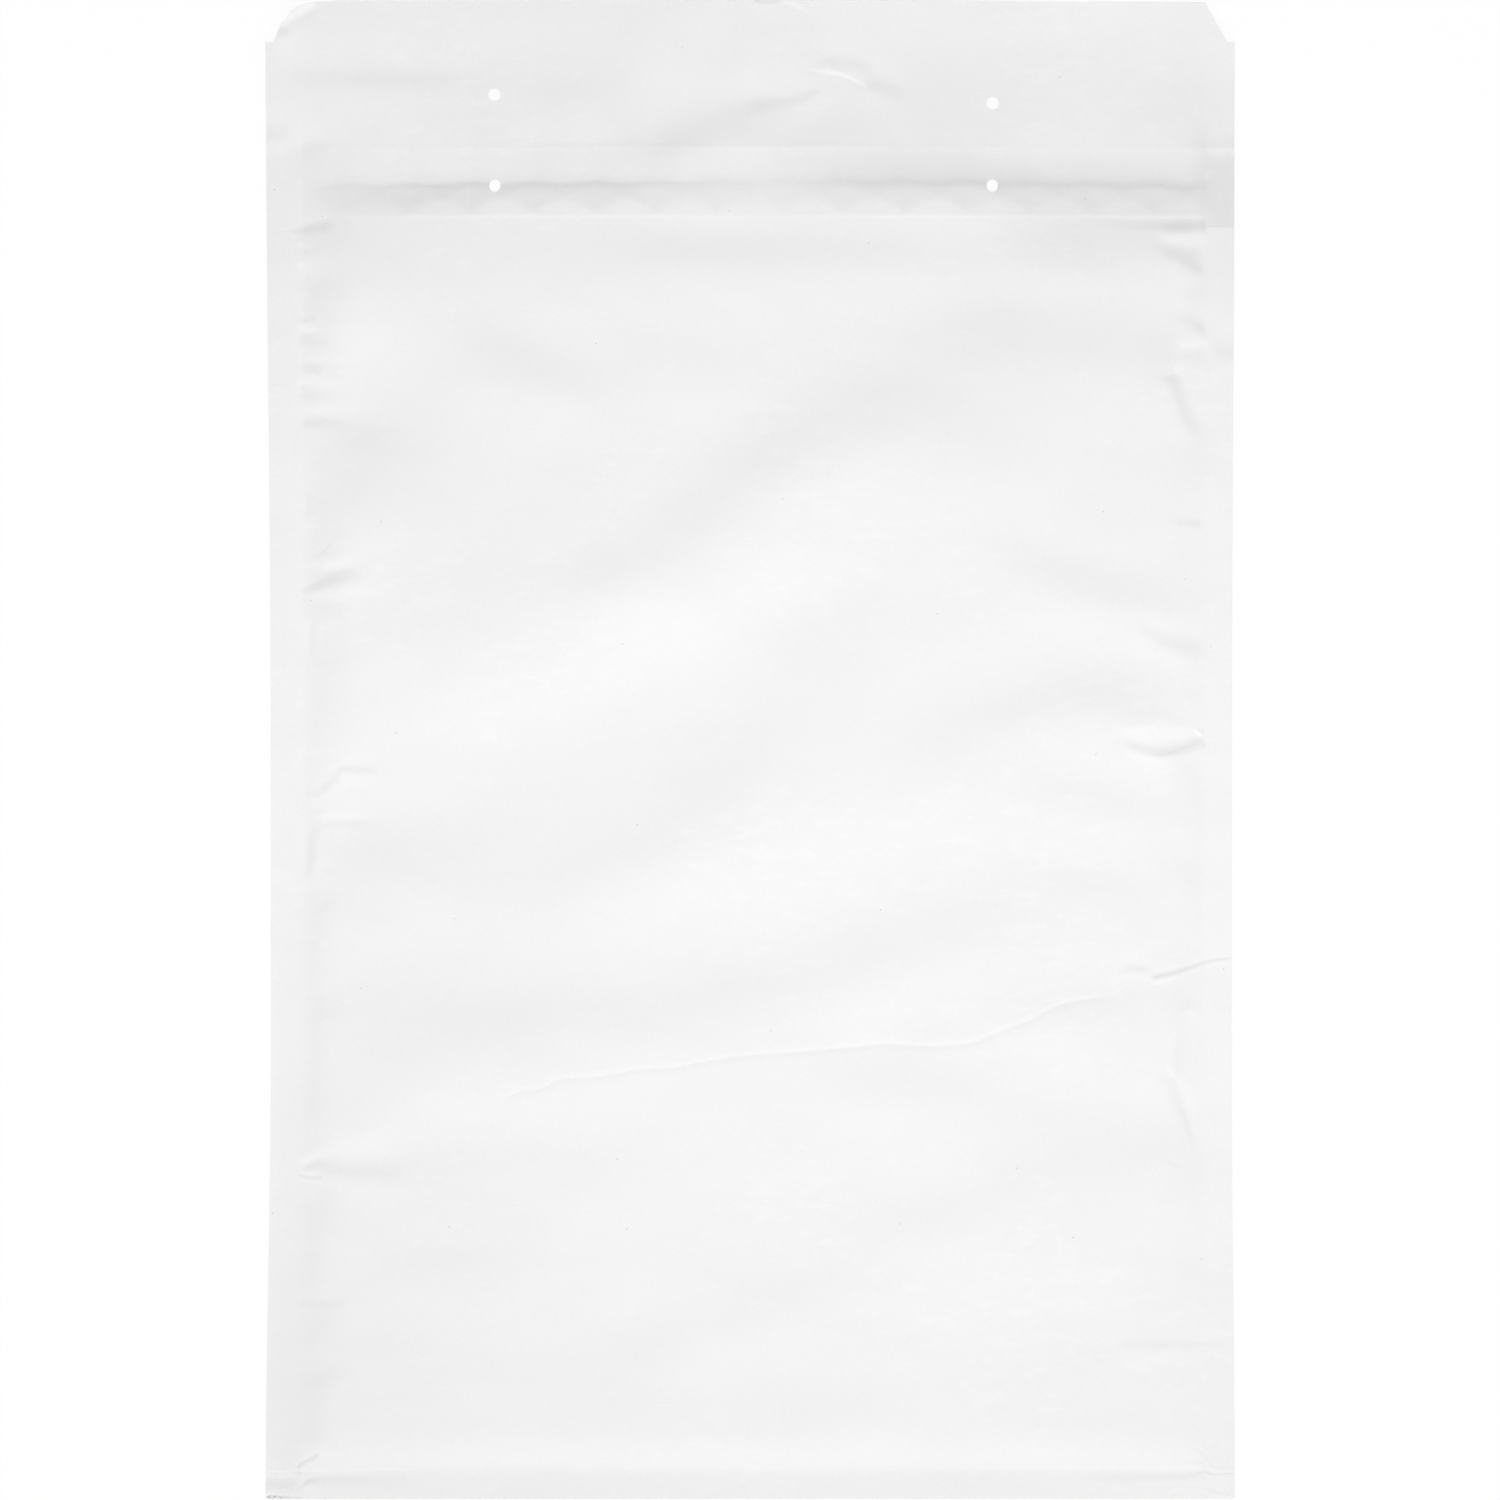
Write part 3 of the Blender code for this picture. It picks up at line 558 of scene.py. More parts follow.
# The long crease across the lower half of the front, and the soft ridge at its right end
LONG_CREASE = (
    Wrinkle(
        ((-92, 131.6), (-82, 132.6), (-76, 135), (-69, 136), (-62.5, 139), (-54, 139.4), (-43, 141),
         (-36, 142.4), (-27, 142.6), (-16.5, 144.5), (-5, 146.4), (7, 147.5), (19, 148.2), (33.5, 149.5),
         (45, 150.6), (58, 149.8), (69.5, 150.5), (76, 151.8), (83, 155), (93, 158.6), (102.5, 163.5),
         (117, 166.2), (133, 168.5)),
        -0.18, (0.9, 0.9), (0.08, 0.12), Crest.RIDGE,
    ),
    Wrinkle(((70, 151), (84, 158.2), (97, 163.8), (111, 167)), -0.06, (0.7, 0.7), (0.1, 0.4), Crest.RIDGE),
)

FINE_WRINKLES = (*LEFT_WRINKLES, *RIGHT_WRINKLES, *LONG_CREASE, *FLAP_SWELLS)


@dataclass(frozen=True)
class SeamRise:
    """First rise of the padding beside a side seam.

    Attributes:
        stretches: Start and end in millimetres of each stretch where it is steep.
        height: How high it rises.
        steep: Distance over which it rises in those stretches.
        gentle: The same distance between them.
        blend: Distance over which one changes into the other.
        power: How straight the steep rise is before it rounds off at its top.
    """

    stretches: tuple[tuple[float, float], ...]
    height: float = 0.0016
    steep: float = 0.0078
    gentle: float = 0.0170
    blend: float = 0.0090
    power: int = 8

    def lift(self, inside: Array, v: Array) -> Array:
        """Find the height of the padding beside the seam.

        Args:
            inside: Distances inside the seam's inner edge.
            v: Points along the envelope.

        Returns:
            The height at each point.
        """
        sharp = np.zeros(v.shape)
        for low, high in self.stretches:
            sharp += smooth((v - low * MM) / self.blend + 0.5) * smooth((high * MM - v) / self.blend + 0.5)
        sharp = np.clip(sharp, 0, 1)
        share = np.clip(inside / (self.gentle + (self.steep - self.gentle) * sharp), 0, 1)
        rounded = 1.5 * share - 0.5 * share**3
        straight = (self.power * share - share**self.power) / (self.power - 1)
        return self.height * (rounded + (straight - rounded) * sharp)


# Stretches from the bottom fold up where the photograph shows a sharp bright line beside the seam
LEFT_RISE = SeamRise(((14, 40), (47, 59), (70, 97), (122, 162), (170, 197)))
RIGHT_RISE = SeamRise(((185, 209), (218, 243)))


@dataclass(frozen=True)
class EnvelopeForm:
    """Sizes of the folded sheet in metres, and the heights of its plies above the table.

    Attributes:
        width: Outside width.
        body_length: Bottom fold to the crease of the flap.
        flap_length: Crease to the flap's free edge.
        back_shortfall: How much lower the back panel's edge lies than the crease.
        paper: Thickness of the paper.
        ply_half_gap: Half the distance between the middles of two plies that are glued.
        rim_height: Height of the seams and the bottom fold, between their plies.
        left_seam: Width of the left seam.
        right_seam: Width of the right seam.
        bottom_band: Flat band along the bottom fold.
        film: Full thickness of one wall of bubble film.
        pouch_gap: Clear height between the two walls in the middle.
        film_setback: Crease to the film's edge.
        film_inset: Distance of the film from a seam's inner edge.
        film_weld: Width of the film's welded sides.
        rise: How high the front is filled out.
        corner_run: Distance from the bottom band over which the rise beside the seams grows.
        side_run: Distance from the seams over which the front fills out.
        bottom_run: The same from the bottom band.
        swell_run: Distance over which the broad swells die out at the borders.
        swell_share: How strong the broad swells are.
        mouth_run: Distance from the left seam over which the fall at the mouth grows.
        slump: How far the right seam sinks at the mouth.
        slump_start: Where it starts to sink.
        slump_end: Where it has sunk.
        lift_before: How far the right side stands up below that place.
        lift_along: Where along the envelope it starts to stand up.
        lift_across: The same across the envelope.
        right_seam_zone: Where the forms of the panel end and those of the right seam start.
        back_run: Distance over which the back ply turns up at its borders.
        glued_run: Distance inside the seams over which the back ply follows the front's wrinkles.
        seam_droop: How far the left seam's outer part hangs near the bottom fold.
        droop_reach: Distance from the seam's inner edge to where it hangs in full, in glued_run.
        droop_end: Where along the envelope the hanging ends.
        crease_lift: Height of the fine ridge along the crease.
        crease_run: Half width of that ridge.
        flap_droop: How much lower the flap's edge lies than the crease.
        flap_lift: How far parts of the flap's edge stand up.
        flap_hump: Where it stands up in the middle.
        flap_right: Where it stands up on the right.
        flap_right_share: How far it does there, as a share of flap_lift.
        flap_arch: How far the edge's left and right ends hang below its middle.
        flap_dip: Depth of the hollow behind the crease, on the left and right.
        dip_rightward: Where the left's depth changes to the right's.
        curl_lift: How far the flap's left corner curls up.
        curl_reach: Distance from that corner over which it curls.
        mouth: The step at the mouth.
    """

    width: float = 0.320
    body_length: float = 0.447
    flap_length: float = 0.0485
    back_shortfall: float = 0.004
    paper: float = 0.0002
    ply_half_gap: float = 0.00011
    rim_height: float = 0.0022
    left_seam: float = 0.0120
    right_seam: float = 0.0093
    bottom_band: float = 0.0090
    film: float = 0.0027
    pouch_gap: float = 0.0054
    film_setback: float = 0.0129
    film_inset: float = 0.0048
    film_weld: float = 0.0060
    rise: float = 0.0070
    corner_run: float = 0.012
    side_run: float = 0.1100
    bottom_run: float = 0.1500
    swell_run: float = 0.0180
    swell_share: float = 1.2
    mouth_run: float = 0.0110
    slump: float = 0.0035
    slump_start: float = 0.4205
    slump_end: float = 0.4440
    lift_before: float = 0.0026
    lift_along: Zone = Zone(0.12, 0.30)
    lift_across: Zone = Zone(0.100, 0.056)
    right_seam_zone: Zone = Zone(0.1455, 0.0095)
    back_run: float = 0.0120
    glued_run: float = 0.0030
    seam_droop: float = 0.0011
    droop_reach: float = 3.0
    droop_end: Zone = Zone(0.13, 0.12)
    crease_lift: float = 0.00006
    crease_run: float = 0.0012
    flap_droop: float = 0.0003
    flap_lift: float = 0.0024
    flap_hump: Zone = Zone(0.005, 0.06)
    flap_right: Zone = Zone(0.07, 0.06)
    flap_right_share: float = 0.6
    flap_arch: tuple[float, float] = (0.0034, 0.0050)
    flap_dip: tuple[float, float] = (0.0006, 0.0032)
    dip_rightward: Zone = Zone(-0.020, 0.080)
    curl_lift: float = 0.0022
    curl_reach: float = 0.0160
    mouth: MouthStep = field(default_factory=MouthStep)

    @property
    def length(self) -> float:
        """Bottom fold to the flap's free edge."""
        return self.body_length + self.flap_length

    @property
    def left_line(self) -> float:
        """X of the left seam's inner edge."""
        return self.left_seam - self.width / 2

    @property
    def right_line(self) -> float:
        """X of the right seam's inner edge."""
        return self.width / 2 - self.right_seam

    @property
    def film_edge(self) -> float:
        """Distance of the film's edge from the bottom fold."""
        return self.body_length - self.film_setback

    @property
    def back_edge(self) -> float:
        """Distance of the back panel's edge from the bottom fold."""
        return self.body_length - self.back_shortfall

    def spread(self, x: Array, v: Array, rise: Callable[[Array], Array], run: float) -> Array:
        """Make a rise from 0 at the seams and the bottom band to 1 inside them, with soft corners.

        Args:
            x: Points across the envelope.
            v: Points along the envelope.
            rise: The form of the rise.
            run: Distance over which it rises.

        Returns:
            The share at each point.
        """
        sides = rise((x - self.left_line) / run) * rise((self.right_line - x) / run)
        return sides * rise((v - self.bottom_band) / run)

    def puff(self, x: Array, v: Array) -> Array:
        """Find how far the front is filled out, from 0 at its borders to 1 in the middle.

        Args:
            x: Points across the envelope.
            v: Points along the envelope.

        Returns:
            The share at each point.
        """
        left = (x - self.left_line) / self.side_run
        right = (self.right_line - x) / self.side_run
        sides = (bulge(left) + smooth(left)) * (bulge(right) + smooth(right)) / 4
        return sides * bulge((v - self.bottom_band) / self.bottom_run)

    def swell(self, x: Array, v: Array) -> Array:
        """Height of the broad swells, which die out at the seams."""
        total = sum(wave.lift(x, v) for wave in SWELLS)
        return self.swell_share * total * self.spread(x, v, smooth, self.swell_run)

    def relief(self, x: Array, v: Array) -> Array:
        """Add up the wrinkles and creases of the front ply.

        Args:
            x: Points across the envelope.
            v: Points along the envelope.

        Returns:
            The height at each point.
        """
        total = np.zeros(x.shape)
        for wrinkle in FINE_WRINKLES:
            total += wrinkle.lift(x, v)
        return total

    def rim(self, x: Array, v: Array) -> Array:
        """Find the height of the seams and the bottom fold.

        The right side rises gently, and its seam slumps at the mouth.

        Args:
            x: Points across the envelope.
            v: Points along the envelope.

        Returns:
            The height at each point, between the plies.
        """
        lift = self.lift_before * self.lift_along.step(v) * self.lift_across.step(x)
        slump = self.slump * np.clip((v - self.slump_start) / (self.slump_end - self.slump_start), 0, 1)
        droop = self.seam_droop * np.clip((self.left_line - x) / self.glued_run / self.droop_reach, 0, 1)
        droop = droop * (1 - self.droop_end.step(v))
        return self.rim_height + lift - slump * self.on_right_seam(x) - droop

    def on_right_seam(self, x: Array) -> Array:
        """A rise from 0 inside the right seam to 1 on it."""
        return self.right_seam_zone.step(x)

    def body_height(self, x: Array, v: Array) -> Array:
        """Find the middle of the front ply from the bottom fold to the crease, without its wrinkles.

        Args:
            x: Points across the envelope.
            v: Points along the envelope.

        Returns:
            The height at each point.
        """
        start = smooth((v - self.bottom_band) / self.corner_run)
        left, right = LEFT_RISE.lift(x - self.left_line, v), RIGHT_RISE.lift(self.right_line - x, v)
        first = left + right - LEFT_RISE.height
        rise = self.rise * self.puff(x, v) + self.swell(x, v) + np.maximum(first, 0.0) * start
        fall = self.mouth.drop(x, v) * self.mouth_strength(x) * (1 - self.on_right_seam(x))
        ridge = self.crease_lift * np.maximum(0.0, 1 - np.abs(self.body_length - v) / self.crease_run)
        return self.rim(x, v) + self.ply_half_gap + rise - fall + ridge

    def mouth_strength(self, x: Array) -> Array:
        """Share of the mouth's full fall at each place across the envelope."""
        return self.mouth.strength(x) * smooth((x - self.left_line) / self.mouth_run)

    def flap_height(self, x: Array, v: Array) -> Array:
        """Find the middle of the flap, which flattens out from the crease to its free edge.

        Args:
            x: Points across the envelope.
            v: Points along the envelope.

        Returns:
            The height at each point.
        """
        share = (v - self.body_length) / self.flap_length
        at_crease = np.full(x.shape, self.body_length)
        crease = self.body_height(x, at_crease) - self.crease_lift
        middle = self.body_height(np.zeros(1), np.full(1, self.body_length))[0] - self.crease_lift
        rightward = self.dip_rightward.step(x)
        arch = np.where(x < 0, self.flap_arch[0], self.flap_arch[1])
        dip = self.flap_dip[0] + (self.flap_dip[1] - self.flap_dip[0]) * rightward
        end = middle - self.flap_droop + dip - arch * (2 * x / self.width) ** 2
        ridge = self.crease_lift * np.maximum(0.0, 1 - (v - self.body_length) / self.crease_run)
        corner = np.hypot(x + self.width / 2, self.length - v)
        curl = self.curl_lift * (1 - np.minimum(corner / self.curl_reach, 1.0)) ** 2
        parts = self.flap_hump.hump(x) + self.flap_right_share * self.flap_right.step(x)
        lift = self.flap_lift * share**2 * parts
        return crease + (end - crease) * share - dip * bulge(share) + lift + ridge + curl

    def front_height(self, x: Array, v: Array) -> Array:
        """Find the middle of the front ply or the flap, with its wrinkles.

        Args:
            x: Points across the envelope.
            v: Points along the envelope.

        Returns:
            The height at each point.
        """
        body = self.body_height(x, np.minimum(v, self.body_length))
        height = np.where(v <= self.body_length, body, self.flap_height(x, v)) + self.relief(x, v)
        return np.maximum(height, self.paper / 2 + 2 * self.ply_half_gap)

    def back_height(self, x: Array, v: Array) -> Array:
        """Find the middle of the back ply, which lies flat inside its turned-up rim and under the front.

        Args:
            x: Points across the envelope.
            v: Points along the envelope.

        Returns:
            The height at each point.
        """
        rim = self.rim(x, v) - self.ply_half_gap
        flat = self.spread(x, v, smooth, self.back_run)
        inside = np.minimum(np.minimum(x - self.left_line, self.right_line - x), v - self.bottom_band)
        glued = 1 - smooth(inside / self.glued_run)
        own = np.maximum(rim - (rim - self.paper / 2) * flat + self.relief(x, v) * glued, self.paper / 2)
        return np.minimum(own, self.front_height(x, v) - 2 * self.ply_half_gap)


@dataclass(frozen=True)
class BubbleLattice:
    """Places of the bubbles: columns across the width, every other one shifted by half a pitch.

    Attributes:
        pitch: Distance of the bubbles along a column.
        column: Distance of the columns.
        radius: Radius of a bubble.
        phase: Distance of a bubble's middle from the bottom fold in the columns that aren't shifted.
        foot: Distance from a bubble's middle to where its wall meets the flat film, in radii.
    """

    pitch: float = 0.01185
    column: float = 0.01026
    radius: float = 0.0048
    phase: float = -0.0020
    foot: float = 1.25

    def offset(self, x: Array, v: Array) -> tuple[Array, Array]:
        """Find where each point lies from the nearest bubble's middle.

        Args:
            x: Points across the envelope.
            v: Points along the envelope.

        Returns:
            The distances across and along.
        """
        column = np.round(x / self.column)
        odd = np.mod(column, 2)
        along = (v - self.phase) / self.pitch
        row = np.round(along - odd / 2) + odd / 2
        return x - column * self.column, (along - row) * self.pitch

    def dome(self, x: Array, v: Array) -> Array:
        """Height of the bubbles as a share of their full height."""
        across, along = self.offset(x, v)
        return bulge(np.clip(self.foot - np.hypot(across, along) / self.radius, 0.0, 1.0))


@dataclass
class SheetMesher:
    """Makes a closed, thin mesh from a flat outline, with fine triangles only where the sheet bends.

    Attributes:
        coarse: Size of the cells that it starts with.
        fine: Size under which no cell is halved.
        sharp: Angle in degrees from which an edge isn't shaded smooth.
        merge: Distance under which two flat points count as one.
    """

    coarse: float
    fine: float
    sharp: float = 50.0
    merge: float = 1e-9

    def cells(self, outline: Array, needed: Place) -> Array:
        """Find the middles of square cells that are halved until each is as small as its place needs.

        Args:
            outline: The flat outline as rows of (x, q).
            needed: Gives the largest cell allowed at each place.

        Returns:
            One row of (x, q, cell size) for each cell.
        """
        low, high = outline.min(axis=0), outline.max(axis=0)
        size = self.coarse
        columns = np.arange(low[0] + size / 2, high[0] + size / 2, size)
        rows = np.arange(low[1] + size / 2, high[1] + size / 2, size)
        grid_x, grid_q = np.meshgrid(columns, rows)
        places = np.column_stack([grid_x.ravel(), grid_q.ravel()])
        done = []
        while len(places):
            split = (needed(places[:, 0], places[:, 1]) < size) & (size > self.fine)
            done.append(np.column_stack([places[~split], np.full((~split).sum(), size)]))
            size /= 2
            corners = [(-1, -1), (-1, 1), (1, -1), (1, 1)]
            places = np.vstack([places[split] + np.array(c) * size / 2 for c in corners])
        return np.vstack(done)

    def closed(
        self, name: str, outline: Array, holes: list[Array], cells: Array, top: Place, bottom: Place
    ) -> bpy.types.Object:
        """Triangulate the flat sheet and fold it into a closed mesh.

        Args:
            name: Name of the new object.
            outline: Points of the flat outline, anticlockwise.
            holes: Outlines of the holes.
            cells: Middles and sizes of the cells.
            top: Gives the outer face's points for flat places.
            bottom: Gives the inner face's points for flat places.

        Returns:
            The new object, in the scene.
        """
        rings = [outline, *holes]
        inside = within(cells[:, :2], outline) & clear_of(cells, outline)
        for hole in holes:
            inside &= ~within(cells[:, :2], hole) & clear_of(cells, hole)
        flat = np.vstack([*rings, cells[inside][:, :2]])
        edges = []
        start = 0
        for ring in rings:
            count = len(ring)
            edges += [(start + n, start + (n + 1) % count) for n in range(count)]
            start += count
        made = delaunay_2d_cdt([Vector(point) for point in flat], edges, [], 0, self.merge, False)
        points = np.array([tuple(point) for point in made[0]])
        triangles = np.array(made[2])
        middles = points[triangles].mean(axis=1)
        keep = within(middles, outline)
        for hole in holes:
            keep &= ~within(middles, hole)
        return self.shell(name, points, triangles[keep], top, bottom)

    def shell(
        self, name: str, points: Array, triangles: Array, top: Place, bottom: Place
    ) -> bpy.types.Object:
        """Close two copies of a flat triangulation along its borders.

        Args:
            name: Name of the new object.
            points: Flat points as (x, q).
            triangles: Point numbers of each triangle, anticlockwise.
            top: Gives the outer face's points.
            bottom: Gives the inner face's points.

        Returns:
            The new object, in the scene.
        """
        used, triangles = np.unique(triangles, return_inverse=True)
        triangles = triangles.reshape(-1, 3)
        points = points[used]
        count = len(points)
        directed = np.vstack([triangles[:, [0, 1]], triangles[:, [1, 2]], triangles[:, [2, 0]]])
        keys = directed[:, 0] * count + directed[:, 1]
        mirrored = directed[:, 1] * count + directed[:, 0]
        border = directed[~np.isin(keys, mirrored)]
        walls = np.column_stack([border[:, 1], border[:, 0], border[:, 0] + count, border[:, 1] + count])
        corners = np.vstack([top(points[:, 0], points[:, 1]), bottom(points[:, 0], points[:, 1])])
        faces = [*triangles.tolist(), *(triangles[:, ::-1] + count).tolist(), *walls.tolist()]
        mesh = bpy.data.meshes.new(name)
        mesh.from_pydata(corners.tolist(), [], faces)
        mesh.validate()
        mesh.shade_smooth()
        mesh.set_sharp_from_angle(angle=math.radians(self.sharp))
        return in_scene(name, mesh)


def in_scene(name: str, data: bpy.types.ID) -> bpy.types.Object:
    """Make an object of a mesh, a lamp or a camera, and link it into the scene.

    Args:
        name: Name of the new object.
        data: What it shows.

    Returns:
        The new object.
    """
    made = bpy.data.objects.new(name, data)
    bpy.context.scene.collection.objects.link(made)
    return made


def within(points: Array, ring: Array) -> Array:
    """Find which points lie inside a closed ring, by counting the edges to their right.

    Args:
        points: Rows of (x, q).
        ring: Points of the ring in order.

    Returns:
        A truth value for each point.
    """
    inside = np.zeros(len(points), bool)
    x, y = points.T
    for (x0, y0), (x1, y1) in zip(ring, np.roll(ring, -1, axis=0)):
        crosses = (y0 > y) != (y1 > y)
        if crosses.any():
            at = x0 + (y - y0) * (x1 - x0) / (y1 - y0)
            inside ^= crosses & (x < at)
    return inside


def clear_of(cells: Array, ring: Array, share: float = 0.35) -> Array:
    """Find which cells keep some distance from a ring's line.

    Args:
        cells: Middles and sizes of the cells.
        ring: Points of the ring in order.
        share: The distance as a share of a cell's own size.

    Returns:
        A truth value for each cell.
    """
    clear = np.ones(len(cells), bool)
    for start, end in zip(ring, np.roll(ring, -1, axis=0)):
        run = end - start
        length = max(float(np.hypot(*run)), 1e-12)
        close = np.abs(cells[:, 0] - start[0]) < length + cells[:, 2]
        close &= np.abs(cells[:, 1] - start[1]) < length + cells[:, 2]
        if not close.any():
            continue
        near = cells[close]
        along = np.clip((near[:, :2] - start) @ run / length**2, 0.0, 1.0)
        away = np.hypot(*(near[:, :2] - start - along[:, None] * run).T)
        clear[np.flatnonzero(close)[away < share * near[:, 2]]] = False
    return clear


def spaced(points: list[tuple[float, float]], step: float) -> Array:
    """Close a ring through corner points, with more points between them.

    Args:
        points: The corners in order.
        step: The longest distance between two points of the ring.

    Returns:
        One row of (x, q) for each point.
    """
    ring = []
    for start, end in zip(points, points[1:] + points[:1]):
        count = max(1, math.ceil(math.dist(start, end) / step))
        ring += [np.array(start) + (np.array(end) - start) * n / count for n in range(count)]
    return np.array(ring)


def circle(x: float, q: float, radius: float, count: int = 32) -> Array:
    """Find the points of a round hole.

    Args:
        x: Its middle across the sheet.
        q: Its middle along the sheet.
        radius: Its radius.
        count: How many points it has.

    Returns:
        One row of (x, q) for each point.
    """
    angles = np.arange(count) * math.tau / count
    return np.column_stack([x + radius * np.cos(angles), q + radius * np.sin(angles)])


def add_node(
    tree: Tree, kind: str, settings: dict | None = None, inputs: dict | None = None
) -> bpy.types.Node:
    """Add a node with its settings and links.

    Args:
        tree: The material's or the world's node tree.
        kind: Blender's name for the node.
        settings: Values of the node's own properties.
        inputs: Value of each input, or the output socket that it takes.

    Returns:
        The new node.
    """
    node = tree.nodes.new(kind)
    for name, value in (settings or {}).items():
        setattr(node, name, value)
    for name, value in (inputs or {}).items():
        if isinstance(value, Socket):
            tree.links.new(value, node.inputs[name])
        else:
            node.inputs[name].default_value = value
    return node


def new_material(name: str) -> tuple[bpy.types.Material, Tree]:
    """Make a material without nodes.

    Args:
        name: Its name.

    Returns:
        The material and its node tree.
    """
    material = bpy.data.materials.new(name)
    material.use_nodes = True
    material.node_tree.nodes.clear()
    return material, material.node_tree


def surface(tree: Tree, relief: Socket, bump: tuple[float, float], inputs: dict) -> None:
    """Finish a material with its relief, its shader and its output.

    Args:
        tree: The material's node tree.
        relief: Height of the relief from 0 to 1.
        bump: Strength of the relief and its depth in metres.
        inputs: The shader's other inputs.
    """
    normal = add_node(tree, "ShaderNodeBump", inputs={
        "Strength": bump[0], "Distance": bump[1], "Height": relief,
    }).outputs["Normal"]
    shader = add_node(tree, "ShaderNodeBsdfPrincipled", inputs={**inputs, "Normal": normal})
    add_node(tree, "ShaderNodeOutputMaterial", inputs={"Surface": shader.outputs[0]})


